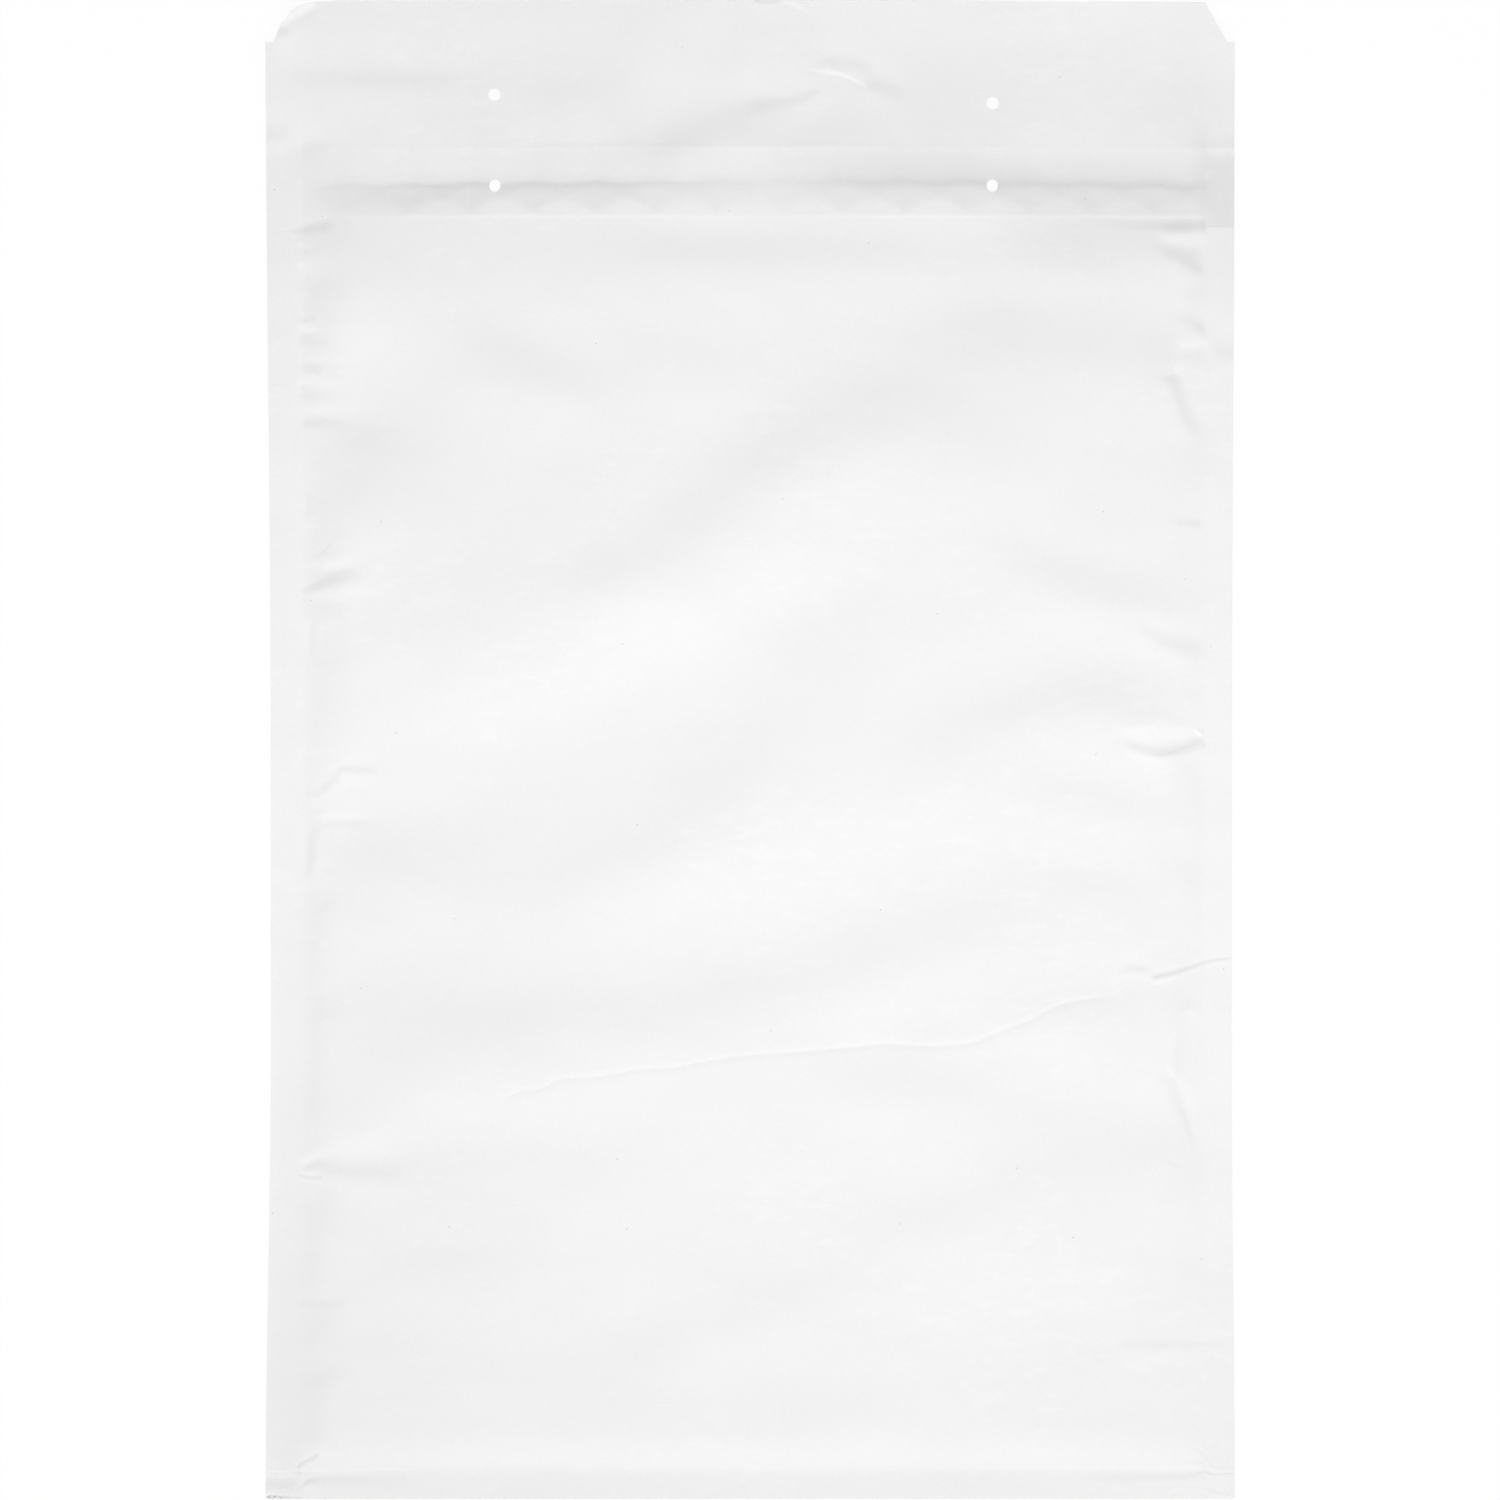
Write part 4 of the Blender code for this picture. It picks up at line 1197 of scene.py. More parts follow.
@dataclass(frozen=True)
class WhiteKraftPaper:
    """Bleached kraft paper, about 80 grams, smooth on the outside from the machine's drying cylinder.

    To the eye it is matt and nearly white, with a fine tooth, a few dark specks, and here and there a scatter
    of paler patches that are drawn out along the machine direction. The tooth and the specks are one or two
    pixels of the photograph, 0.4 to 0.7 mm, which is coarser than the real fibres.

    Attributes:
        shade: Colour where the fibres lie evenly.
        cloud: Colour where they lie thinner.
        patch: Colour of the patches.
        speck: Colour of the specks.
        roughness: Roughness of the surface.
        ior: Refractive index.
        cloud_size: Size of the thinner places across and along the sheet.
        patch_size: The same for the patches.
        patch_zone: Size of the areas that have patches.
        tooth: Size of the grain.
        tooth_share: How much the grain shows in the colour, against the thinner places.
        even: Sum of both from which the colour starts to change to the shade, and where it has changed.
        patch_edge: Values of the noise between which a patch comes in.
        zone_edge: The same for the areas that have patches.
        patch_strength: How much of the patches' colour shows.
        speck_spacing: Size of the cells that have one speck each.
        speck_size: Radius of a speck.
        bump: Strength and depth of the grain's relief.
    """

    shade: str = "#F6F6F6"
    cloud: str = "#F1F1F1"
    patch: str = "#FAFAFA"
    speck: str = "#CFCCC8"
    roughness: float = 0.62
    ior: float = 1.5
    cloud_size: tuple[float, float] = (0.045, 0.018)
    patch_size: tuple[float, float] = (0.0090, 0.0036)
    patch_zone: float = 0.075
    tooth: float = 0.0007
    tooth_share: float = 1.5
    even: tuple[float, float] = (0.85, 1.65)
    patch_edge: tuple[float, float] = (0.54, 0.60)
    zone_edge: tuple[float, float] = (0.46, 0.62)
    patch_strength: float = 0.24
    speck_spacing: float = 0.072
    speck_size: float = 0.00021
    bump: tuple[float, float] = (0.2, 0.00003)

    def stretched(self, tree: Tree, place: Socket, size: tuple[float, float]) -> Socket:
        """Scale places so that one unit is a pattern's size.

        Args:
            tree: The material's node tree.
            place: The places in metres.
            size: The pattern's size across and along the sheet.

        Returns:
            The scaled places.
        """
        return add_node(tree, "ShaderNodeMapping", inputs={
            "Vector": place, "Scale": (1 / size[0], 1 / size[1], 1 / size[1]),
        }).outputs["Vector"]

    def build(self) -> bpy.types.Material:
        """Make the material.

        Returns:
            The new material.
        """
        material, tree = new_material("white_kraft_paper")
        place = add_node(tree, "ShaderNodeTexCoord").outputs["Object"]
        tooth = add_node(tree, "ShaderNodeTexNoise", inputs={
            "Vector": place, "Scale": 1 / self.tooth, "Detail": 2.0, "Roughness": 0.7,
        }).outputs["Fac"]
        clouds = add_node(tree, "ShaderNodeTexNoise", inputs={
            "Vector": self.stretched(tree, place, self.cloud_size), "Scale": 1.0, "Detail": 3.0,
        }).outputs["Fac"]
        even = add_node(tree, "ShaderNodeMath", {"operation": "MULTIPLY_ADD"}, {
            0: tooth, 1: self.tooth_share, 2: clouds,
        }).outputs[0]
        share = add_node(tree, "ShaderNodeMapRange", inputs={
            "Value": even, "From Min": self.even[0], "From Max": self.even[1],
        }).outputs["Result"]
        ground = add_node(tree, "ShaderNodeMix", {"data_type": "RGBA"}, {
            FACTOR: share, FIRST_COLOUR: linear(self.cloud), SECOND_COLOUR: linear(self.shade),
        }).outputs[MIXED]
        patches = add_node(tree, "ShaderNodeTexNoise", inputs={
            "Vector": self.stretched(tree, place, self.patch_size),
            "Scale": 1.0, "Detail": 5.0, "Roughness": 0.62,
        }).outputs["Fac"]
        zones = add_node(tree, "ShaderNodeTexNoise", inputs={
            "Vector": place, "Scale": 1 / self.patch_zone, "Detail": 1.0,
        }).outputs["Fac"]
        clear_patches = add_node(tree, "ShaderNodeMapRange", {"interpolation_type": "SMOOTHSTEP"}, {
            "Value": patches, "From Min": self.patch_edge[0], "From Max": self.patch_edge[1],
        }).outputs["Result"]
        zone = add_node(tree, "ShaderNodeMapRange", {"interpolation_type": "SMOOTHSTEP"}, {
            "Value": zones, "From Min": self.zone_edge[0], "From Max": self.zone_edge[1],
        }).outputs["Result"]
        both = add_node(tree, "ShaderNodeMath", {"operation": "MULTIPLY"}, {
            0: clear_patches, 1: zone,
        }).outputs[0]
        pale = add_node(tree, "ShaderNodeMath", {"operation": "MULTIPLY"}, {
            0: both, 1: self.patch_strength,
        }).outputs[0]
        patched = add_node(tree, "ShaderNodeMix", {"data_type": "RGBA"}, {
            FACTOR: pale, FIRST_COLOUR: ground, SECOND_COLOUR: linear(self.patch),
        }).outputs[MIXED]
        cells = add_node(tree, "ShaderNodeTexVoronoi", {"voronoi_dimensions": "2D"}, {
            "Vector": place, "Scale": 1 / self.speck_spacing,
        }).outputs["Distance"]
        speck = add_node(tree, "ShaderNodeMath", {"operation": "LESS_THAN"}, {
            0: cells, 1: self.speck_size / self.speck_spacing,
        }).outputs[0]
        colour = add_node(tree, "ShaderNodeMix", {"data_type": "RGBA"}, {
            FACTOR: speck, FIRST_COLOUR: patched, SECOND_COLOUR: linear(self.speck),
        }).outputs[MIXED]
        surface(tree, tooth, self.bump, {"Base Color": colour, "Roughness": self.roughness, "IOR": self.ior})
        return material


@dataclass(frozen=True)
class ClearPolyethylene:
    """Blown low-density polyethylene film: clear, faintly milky where it is thick, with a soft gloss.

    The haze is drawn 4 mm wide, coarser than in real film, so that it shows beside bubbles of 10 mm.

    Attributes:
        tint: Colour of the film.
        roughness: Mean roughness.
        roughness_spread: How much smoother and how much rougher it is in places.
        ior: Refractive index.
        transmission: Share of light that it lets through.
        haze: Size of the smoother and rougher places.
        bump: Strength and depth of the relief.
    """

    tint: str = "#F4F7F8"
    roughness: float = 0.16
    roughness_spread: tuple[float, float] = (0.05, 0.08)
    ior: float = 1.51
    transmission: float = 0.85
    haze: float = 0.004
    bump: tuple[float, float] = (0.3, 0.0001)

    def build(self) -> bpy.types.Material:
        """Make the material.

        Returns:
            The new material.
        """
        material, tree = new_material("clear_polyethylene_film")
        place = add_node(tree, "ShaderNodeTexCoord").outputs["Object"]
        haze = add_node(tree, "ShaderNodeTexNoise", inputs={
            "Vector": place, "Scale": 1 / self.haze, "Detail": 3.0,
        }).outputs["Fac"]
        rough = add_node(tree, "ShaderNodeMapRange", inputs={
            "Value": haze,
            "To Min": self.roughness - self.roughness_spread[0],
            "To Max": self.roughness + self.roughness_spread[1],
        }).outputs["Result"]
        surface(tree, haze, self.bump, {
            "Base Color": linear(self.tint), "Roughness": rough, "IOR": self.ior,
            "Transmission Weight": self.transmission,
        })
        return material


@dataclass(frozen=True)
class HotMelt:
    """Pressure-sensitive hot-melt adhesive, spread warm: pale amber, tacky and glossy, with a combed surface.

    Blender's wave turns by 20 radians in a unit, so the lines are drawn 10 mm apart, coarser than real ones.
    The colour darkens in the comb's grooves, which is painted shade.

    Attributes:
        shade: Colour where it is thick.
        groove_shade: Colour in the comb's grooves, darker there as painted shade.
        roughness: Roughness of the surface.
        comb: Distance over which the wave of lines turns by one radian.
        bump: Strength and depth of the lines.
    """

    shade: str = "#EFE4C6"
    groove_shade: str = "#E2D2A6"
    roughness: float = 0.28
    comb: float = 0.0016
    bump: tuple[float, float] = (0.4, 0.0001)

    def build(self) -> bpy.types.Material:
        """Make the material.

        Returns:
            The new material.
        """
        material, tree = new_material("hot_melt_adhesive")
        place = add_node(tree, "ShaderNodeTexCoord").outputs["Object"]
        lines = add_node(tree, "ShaderNodeTexWave", {"bands_direction": "Y"}, {
            "Vector": place, "Scale": 1 / self.comb / WAVE_RADIANS, "Distortion": 1.5, "Detail": 2.0,
        }).outputs["Fac"]
        # Painted shade: the colour follows the relief and darkens in the comb's grooves
        colour = add_node(tree, "ShaderNodeMix", {"data_type": "RGBA"}, {
            FACTOR: lines, FIRST_COLOUR: linear(self.groove_shade), SECOND_COLOUR: linear(self.shade),
        }).outputs[MIXED]
        surface(tree, lines, self.bump, {"Base Color": colour, "Roughness": self.roughness})
        return material


@dataclass(frozen=True)
class SiliconisedGlassine:
    """Glassine coated with silicone: dense, faintly yellow and slick, with a calendered sheet's satin gloss.

    Attributes:
        shade: Colour where the fibres lie evenly.
        cloud: Colour where they lie thinner.
        roughness: Roughness of the surface.
        fibre: Size of the thinner places, drawn coarser than real, because the liner is small in a picture.
        bump: Strength and depth of the relief.
    """

    shade: str = "#F3F0E4"
    cloud: str = "#EAE6D6"
    roughness: float = 0.33
    fibre: float = 0.003
    bump: tuple[float, float] = (0.15, 0.00003)

    def build(self) -> bpy.types.Material:
        """Make the material.

        Returns:
            The new material.
        """
        material, tree = new_material("siliconised_glassine")
        place = add_node(tree, "ShaderNodeTexCoord").outputs["Object"]
        cloud = add_node(tree, "ShaderNodeTexNoise", inputs={
            "Vector": place, "Scale": 1 / self.fibre, "Detail": 5.0, "Roughness": 0.65,
        }).outputs["Fac"]
        colour = add_node(tree, "ShaderNodeMix", {"data_type": "RGBA"}, {
            FACTOR: cloud, FIRST_COLOUR: linear(self.cloud), SECOND_COLOUR: linear(self.shade),
        }).outputs[MIXED]
        surface(tree, cloud, self.bump, {"Base Color": colour, "Roughness": self.roughness})
        return material


@dataclass
class PaperSheet:
    """The one folded sheet: flap, front, bottom fold and back, glued along both sides.

    Attributes:
        form: The envelope's form.
        corner_step: How far the flap is narrower than the body at each side.
        corner_depth: Distance from the flap's edge to that step.
        top_edge: The flap's edge from right to left, as x and as the distance below its highest line, in
            millimetres. It is rounded at the left.
        hole_radius: Radius of the punched holes.
        left_hole: X of the left holes.
        right_hole: X of the right holes.
        left_flap_hole: Distance of the flap's left hole above the crease.
        right_flap_hole: The same for its right hole.
        body_hole: Distance of the body's holes below the crease.
        ply_slip: How far the back's holes lie from the front's.
        left_stand: How far the left side stands out at its ends, and how much less in the middle.
        right_stand: The same for the right side.
        stand_runs: Distances from the flap's edge and the bottom fold over which it changes.
        coarse: Size of the mesh's first cells.
        fine: Size under which no cell is halved.
        back_cell: Largest cell on the back.
        front_cell: The same on the front and the flap.
        edge_cell: Distance of the outline's points.
        wrinkle_cell: Largest cell on a wrinkle's line, as a share of its half width.
        wrinkle_growth: How fast the cells may grow with the distance from that line.
        mouth_cell: Largest cell on the step at the mouth.
        mouth_margins: How far that area goes below the step's crest and above the film's edge.
        bend_cell: Largest cell on the sharp bends at the crest and at the film's edge.
        bend_reach: How far those areas go from the bend.
        bend_shift: How far the film's bend lies above its edge.
        crease_cell: Largest cell on the flap's crease.
        crease_reach: How far that area goes, in the crease's run.
        seam_cell: Largest cell beside the seams.
        seam_reach: How far those areas go from a seam's inner edge.
        band_cell: Largest cell at the inner edge of the bottom band and next to the bottom fold.
        band_reach: How far those areas go from the band's edge, and from the fold.
        fold_rows: Places of the rows of points round the bottom fold, in halves of its bend.
        fold_columns: How many points a row has.
        fold_inset: Distance of a row's ends from the sheet's sides.
        fold_clear: Distance from the middle of the bend within which there are no other points.
    """

    form: EnvelopeForm
    corner_step: float = 0.0026
    corner_depth: float = 0.0136
    top_edge: tuple[tuple[float, float], ...] = (
        (150.2, 0.5), (95, 0.4), (60, 0), (-136, 0), (-143.2, 0.4), (-146.6, 1.0), (-149.4, 1.7),
        (-151.6, 3.4), (-153.4, 6.2), (-155.2, 8.4),
    )
    hole_radius: float = 0.00205
    left_hole: float = -0.0845
    right_hole: float = 0.0802
    left_flap_hole: float = 0.0173
    right_flap_hole: float = 0.0146
    body_hole: float = 0.0127
    ply_slip: float = 0.00025
    left_stand: tuple[float, float] = (0.0003, 0.0017)
    right_stand: tuple[float, float] = (0.0004, 0.0010)
    stand_runs: tuple[float, float] = (0.25, 0.15)
    coarse: float = 0.008
    fine: float = 0.0003
    back_cell: float = 0.008
    front_cell: float = 0.004
    edge_cell: float = 0.002
    wrinkle_cell: float = 0.8
    wrinkle_growth: float = 0.35
    mouth_cell: float = 0.0010
    mouth_margins: tuple[float, float] = (0.002, 0.003)
    bend_cell: float = 0.0005
    bend_reach: float = 0.0008
    bend_shift: float = 0.0003
    crease_cell: float = 0.0008
    crease_reach: float = 1.2
    seam_cell: float = 0.002
    seam_reach: float = 0.004
    band_cell: float = 0.001
    band_reach: tuple[float, float] = (0.0022, 0.0010)
    fold_rows: tuple[float, ...] = (-2.2, -1.0, -0.5, 0.0, 0.5, 1.0, 2.2)
    fold_columns: int = 160
    fold_inset: float = 0.001
    fold_clear: float = 0.0007

    def fold(self, x: Array, q: Array) -> Array:
        """Find the middle of the sheet for flat places.

        Args:
            x: Places across the sheet.
            q: Places along the flat sheet, positive up the front and negative up the back.

        Returns:
            One row of (x, y, z) for each place.
        """
        form = self.form
        radius = form.ply_half_gap
        half_bend = math.pi / 2 * radius
        turn = np.clip(q / radius, -math.pi / 2, math.pi / 2)
        v = np.where(np.abs(q) > half_bend, np.abs(q) - half_bend + radius, radius * (1 - np.cos(turn)))
        bend = form.rim_height + radius * np.sin(turn)
        front = form.front_height(x, np.maximum(v, radius))
        back = form.back_height(x, np.minimum(np.maximum(v, radius), form.back_edge))
        z = np.where(q > half_bend, front, np.where(q < -half_bend, back, bend))
        return np.column_stack([x + self.edge_shift(x, v), v - form.length / 2, z])

    def edge_shift(self, x: Array, v: Array) -> Array:
        """Find how far each place is shifted, because the sides stand in or out from straight.

        Args:
            x: Points across the envelope.
            v: Points along the envelope.

        Returns:
            The shift across at each point.
        """
        waist = smooth((self.form.length - v) / self.stand_runs[0]) * smooth(v / self.stand_runs[1])
        left = self.left_stand[0] - self.left_stand[1] * waist
        right = self.right_stand[0] - self.right_stand[1] * waist
        share = np.abs(x) / (self.form.width / 2)
        return np.where(x < 0, -left, right) * share**4

    def face(self, side: float) -> Place:
        """Make the function that places one face of the sheet.

        Args:
            side: 1 for the outer face, or -1 for the inner one.

        Returns:
            A function from flat places to points.
        """
        step = 0.00001

        def place(x: Array, q: Array) -> Array:
            """Find points of the face, half the paper's thickness from its middle.

            Args:
                x: Places across the sheet.
                q: Places along the flat sheet.

            Returns:
                One row of (x, y, z) for each place.
            """
            across = self.fold(x + step, q) - self.fold(x - step, q)
            along = self.fold(x, q + step) - self.fold(x, q - step)
            normal = np.cross(across, along)
            normal /= np.linalg.norm(normal, axis=1)[:, None]
            return self.fold(x, q) + normal * side * self.form.paper / 2

        return place

    def flat(self, v: float) -> float:
        """Flat place of a point of the front or the flap."""
        radius = self.form.ply_half_gap
        return v - radius + math.pi / 2 * radius

    def outline(self) -> Array:
        """Draw the flat sheet, anticlockwise from the back panel's left corner.

        Returns:
            One row of (x, q) for each point.
        """
        half = self.form.width / 2
        back = -self.flat(self.form.back_edge)
        top = self.flat(self.form.length)
        step = top - self.corner_depth
        inner = half - self.corner_step
        corners = [(-half, back), (half, back), (half, step), (inner, step)]
        corners += [(x * MM, top - short * MM) for x, short in self.top_edge]
        corners += [(-inner, step), (-half, step)]
        return spaced(corners, self.edge_cell)

    def holes(self) -> list[Array]:
        """Draw the punched holes: two through the flap, and two through the front and back.

        Returns:
            The outline of each hole.
        """
        form = self.form
        places = [
            (self.left_hole, self.flat(form.body_length + self.left_flap_hole)),
            (self.right_hole, self.flat(form.body_length + self.right_flap_hole)),
        ]
        for x in (self.left_hole, self.right_hole):
            v = self.flat(form.body_length - self.body_hole)
            places += [(x, v), (x, -v - self.ply_slip)]
        return [circle(x, q, self.hole_radius) for x, q in places]

    def needed(self, x: Array, q: Array) -> Array:
        """Find the largest cell allowed at each place.

        Args:
            x: Places across the sheet.
            q: Places along the flat sheet.

        Returns:
            The size at each place.
        """
        form = self.form
        v = np.abs(q)
        front = q > 0
        size = np.where(front, self.front_cell, self.back_cell)
        for wrinkle in FINE_WRINKLES:
            close = wrinkle.around(x, v) & front
            if not close.any():
                continue
            away, _, share = wrinkle.near(x[close], v[close])
            largest = wrinkle.half_width(share) * self.wrinkle_cell + self.wrinkle_growth * away
            size[close] = np.minimum(size[close], largest)
        below, above = self.mouth_margins
        mouth = front & (v > form.mouth.crest - below) & (v < form.mouth.edge + above)
        size[mouth] = np.minimum(size[mouth], self.mouth_cell)
        film = np.abs(v - form.mouth.film_edge(x) - self.bend_shift)
        size[front & (np.minimum(np.abs(v - form.mouth.crest), film) < self.bend_reach)] = self.bend_cell
        crease = front & (np.abs(v - form.body_length) < self.crease_reach * form.crease_run)
        size[crease] = np.minimum(size[crease], self.crease_cell)
        to_seam = np.minimum(np.abs(x - form.left_line), np.abs(x - form.right_line))
        seam = front & (to_seam < self.seam_reach) & (v < form.body_length)
        size[seam] = np.minimum(size[seam], self.seam_cell)
        size[v < self.band_reach[1]] = self.band_cell
        band = front & (np.abs(v - form.bottom_band) < self.band_reach[0])
        size[band] = np.minimum(size[band], self.band_cell)
        return size

    def fold_points(self) -> Array:
        """Place rows of points round the tight bend of the bottom fold.

        Returns:
            One row of (x, q, cell size) for each point.
        """
        half_bend = math.pi / 2 * self.form.ply_half_gap
        half = self.form.width / 2 - self.fold_inset
        columns = np.linspace(-half, half, self.fold_columns)
        cell = np.full(columns.shape, POINT_CELL)
        rows = [np.full(columns.shape, share * half_bend) for share in self.fold_rows]
        return np.vstack([np.column_stack([columns, row, cell]) for row in rows])

    def build(self) -> bpy.types.Object:
        """Make the sheet in place of the CAD node.

        Returns:
            The new piece.
        """
        mesher = SheetMesher(self.coarse, self.fine)
        outline = self.outline()
        cells = mesher.cells(outline, self.needed)
        cells = np.vstack([cells[np.abs(cells[:, 1]) > self.fold_clear], self.fold_points()])
        sheet = mesher.closed("paper_sheet", outline, self.holes(), cells, self.face(1), self.face(-1))
        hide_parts("paper_envelope")
        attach(sheet, "root")
        return sheet

    def dress(self, sheet: bpy.types.Object) -> None:
        """Give the sheet its paper."""
        sheet.data.materials.append(WhiteKraftPaper().build())


@dataclass
class BubbleLining:
    """The bubble film: one length folded at the bottom and welded at both sides, bubbles towards the paper.

    Attributes:
        form: The envelope round it.
        paper: The folded sheet, for the places of its punched holes.
        lattice: Where the bubbles are.
        start: Distance of the film's bottom fold from the envelope's.
        corner_cut: Size of the cut-off corners at the film's bottom fold.
        margin: Clear gap between the film and the paper.
        skin: Thickness of the flat film between the bubbles.
        thinnest: Least thickness of a bubbled wall, where it is pressed flat at the welds.
        half_bend: Length of film from the middle of its bottom fold to where a wall starts.
        notch: Radius of the bites that the body's punched holes take out of the film's edge.
        probe: Distance round a point over which the paper's height is looked at.
        pouch_share: Share of the pouch's clear height that the walls leave free.
        slack: Clear gap left between the two walls.
        least_gap: Least half distance between their inner faces.
        edge_cut: How much shorter the film is than the line where it shows.
        back_cut: How much shorter its back wall is than its front wall.
        edge_points: How many points its edge at the mouth has.
        side_points: How many points a side has.
        rings: Rings of points round a bubble, as the share of its radius, the number of points and the turn.
        end_margin: Clear distance from a bubble's middle to the film's edge, in radii.
        edge_probe: Distance at each side of a bubble over which the edge is looked at.
        cell: Size of the flat cells.
        fold_cell: Size of the cells at the film's bottom fold.
        fold_share: How far those cells go, in halves of the bend.
        clear: Distance from a bubble's middle within which there are no flat cells, in radii.
    """

    form: EnvelopeForm
    paper: PaperSheet
    lattice: BubbleLattice = field(default_factory=BubbleLattice)
    start: float = 0.0160
    corner_cut: float = 0.0140
    margin: float = 0.00022
    skin: float = 0.00016
    thinnest: float = 0.00012
    half_bend: float = 0.0015
    notch: float = 0.0024
    probe: float = 0.0015
    pouch_share: float = 0.6
    slack: float = 0.00002
    least_gap: float = 0.00001
    edge_cut: float = 0.0004
    back_cut: float = 0.0004
    edge_points: int = 300
    side_points: int = 180
    rings: tuple[tuple[float, int, float], ...] = ((1.03, 10, 0.0), (0.72, 8, 0.3), (0.0, 1, 0.0))
    end_margin: float = 1.1
    edge_probe: float = 0.004
    cell: float = 0.004
    fold_cell: float = 0.001
    fold_share: float = 2.0
    clear: float = 1.2

    def ceiling(self, x: Array, v: Array) -> Array:
        """Find the highest place for the film under the front ply: the lowest of nine heights round it.

        Args:
            x: Points across the envelope.
            v: Points along the envelope.

        Returns:
            The height at each point.
        """
        heights = []
        for across, along in AROUND:
            limited = np.minimum(v + along * self.probe, self.form.film_edge)
            heights.append(self.form.front_height(x + across * self.probe, limited))
        return np.min(heights, axis=0) - self.form.paper / 2 - self.margin

    def ground(self, x: Array, v: Array) -> Array:
        """Find the lowest place for the film over the back ply: the highest of five heights round it.

        Args:
            x: Points across the envelope.
            v: Points along the envelope.

        Returns:
            The height at each point.
        """
        heights = []
        for across, along in AROUND[:5]:
            heights.append(self.form.back_height(x + across * self.probe, v + along * self.probe))
        return np.max(heights, axis=0) + self.form.paper / 2 + self.margin

    def walls(self, x: Array, v: Array) -> tuple[Array, Array, Array]:
        """Find the room for the film and the thickness of its walls.

        Args:
            x: Points across the envelope.
            v: Points along the envelope.

        Returns:
            The highest and the lowest place for the film, and the thickness of each wall.
        """
        high = self.ceiling(x, v)
        low = self.ground(x, v)
        pouch = self.form.pouch_gap * self.form.puff(x, v)
        room = (high - low - self.pouch_share * pouch) / 2 - self.slack
        thick = np.clip(room, self.thinnest, self.form.film)
        return high, low, thick

    def place(self, x: Array, q: Array, outer: bool) -> Array:
        """Find points of the film's face for flat places.

        Args:
            x: Places across the film.
            q: Places along the flat film from its bottom fold, positive up the front wall.
            outer: Whether the bubbled face is wanted.

        Returns:
            One row of (x, y, z) for each place.
        """
        past = np.maximum(np.abs(q) - self.half_bend, 0.0)
        v = self.start + past
        high, low, thick = self.walls(x, v)
        turn = np.clip(q / self.half_bend, -1, 1) * math.pi / 2
        half_gap = np.maximum((high - low) / 2 - thick, self.least_gap)
        bent = np.abs(q) < self.half_bend
        inner_top = np.where(bent, (high + low) / 2 + half_gap, high - thick)
        inner_low = np.where(bent, (high + low) / 2 - half_gap, low + thick)
        share = (np.sin(turn) + 1) / 2
        z = inner_low + (inner_top - inner_low) * share
        out = self.skin + (thick - self.skin) * self.lattice.dome(x, v) if outer else np.zeros(x.shape)
        out = np.where(bent, np.minimum(out, self.thinnest), out)
        y = v - np.cos(turn) * (half_gap + out) - self.form.length / 2
        return np.column_stack([x, y, z + out * np.sin(turn)])

    def outline(self) -> Array:
        """Draw the flat film, with an uneven edge at the mouth and the bites of the punched holes in it.

        Returns:
            One row of (x, q) for each point.
        """
        form = self.form
        left = form.left_line + form.film_inset
        right = form.right_line - form.film_inset
        columns = np.linspace(left, right, self.edge_points)
        edge = self.mouth_edge(columns)
        front = list(zip(columns[::-1], edge[::-1]))
        back = list(zip(columns, -edge + self.back_cut))
        sides = list(np.linspace(edge[-1], -edge[-1], self.side_points)[1:-1])
        cuts = [max(0.0, self.corner_cut - abs(q)) for q in sides]
        rising = [(right - cut, -q) for q, cut in zip(sides, cuts)]
        falling = [(left + cut, q) for q, cut in zip(sides, cuts)]
        return np.array([*back, *rising, *front, *falling])

    def mouth_edge(self, x: Array) -> Array:
        """Find the film's cut edge at the mouth.

        Args:
            x: Places across the film.

        Returns:
            Its flat distance from the film's bottom fold at each place.
        """
        edge = self.form.mouth.film_edge(x) - self.edge_cut
        punched = self.form.body_length - self.paper.body_hole
        for hole in (self.paper.left_hole, self.paper.right_hole):
            half = np.sqrt(np.maximum(self.notch**2 - (x - hole) ** 2, 0.0))
            edge = np.where(half > 0, np.minimum(edge, punched - half), edge)
        return edge - self.start + self.half_bend

    def bubble_points(self) -> Array:
        """Place points round every whole bubble of both walls.

        Returns:
            One row of (x, q) for each point.
        """
        form, lattice = self.form, self.lattice
        left = form.left_line + form.film_inset + form.film_weld / 2
        right = form.right_line - form.film_inset - form.film_weld / 2
        points = []
        rows = range(math.ceil(self.start / lattice.pitch), math.ceil(form.film_edge / lattice.pitch) + 1)
        for column in range(math.ceil(left / lattice.column), math.floor(right / lattice.column) + 1):
            x = column * lattice.column
            limit = float(self.mouth_edge(np.array([x - self.edge_probe, x, x + self.edge_probe])).min())
            for row in rows:
                q = (row + (column % 2) / 2) * lattice.pitch + lattice.phase - self.start + self.half_bend
                near_fold = q < lattice.radius + self.half_bend
                near_end = q + lattice.radius * self.end_margin > limit
                if near_fold or near_end or x - lattice.radius < left or x + lattice.radius > right:
                    continue
                for share, count, turned in self.rings:
                    angles = turned + np.arange(count) * math.tau / count
                    across = share * lattice.radius * np.cos(angles)
                    along = share * lattice.radius * np.sin(angles)
                    points.append(np.column_stack([x + across, q + along]))
                    points.append(np.column_stack([x + across, -q - along]))
        return np.vstack(points)

    def needed(self, _: Array, q: Array) -> Array:
        """Largest cell allowed at each flat place."""
        return np.where(np.abs(q) < self.fold_share * self.half_bend, self.fold_cell, self.cell)

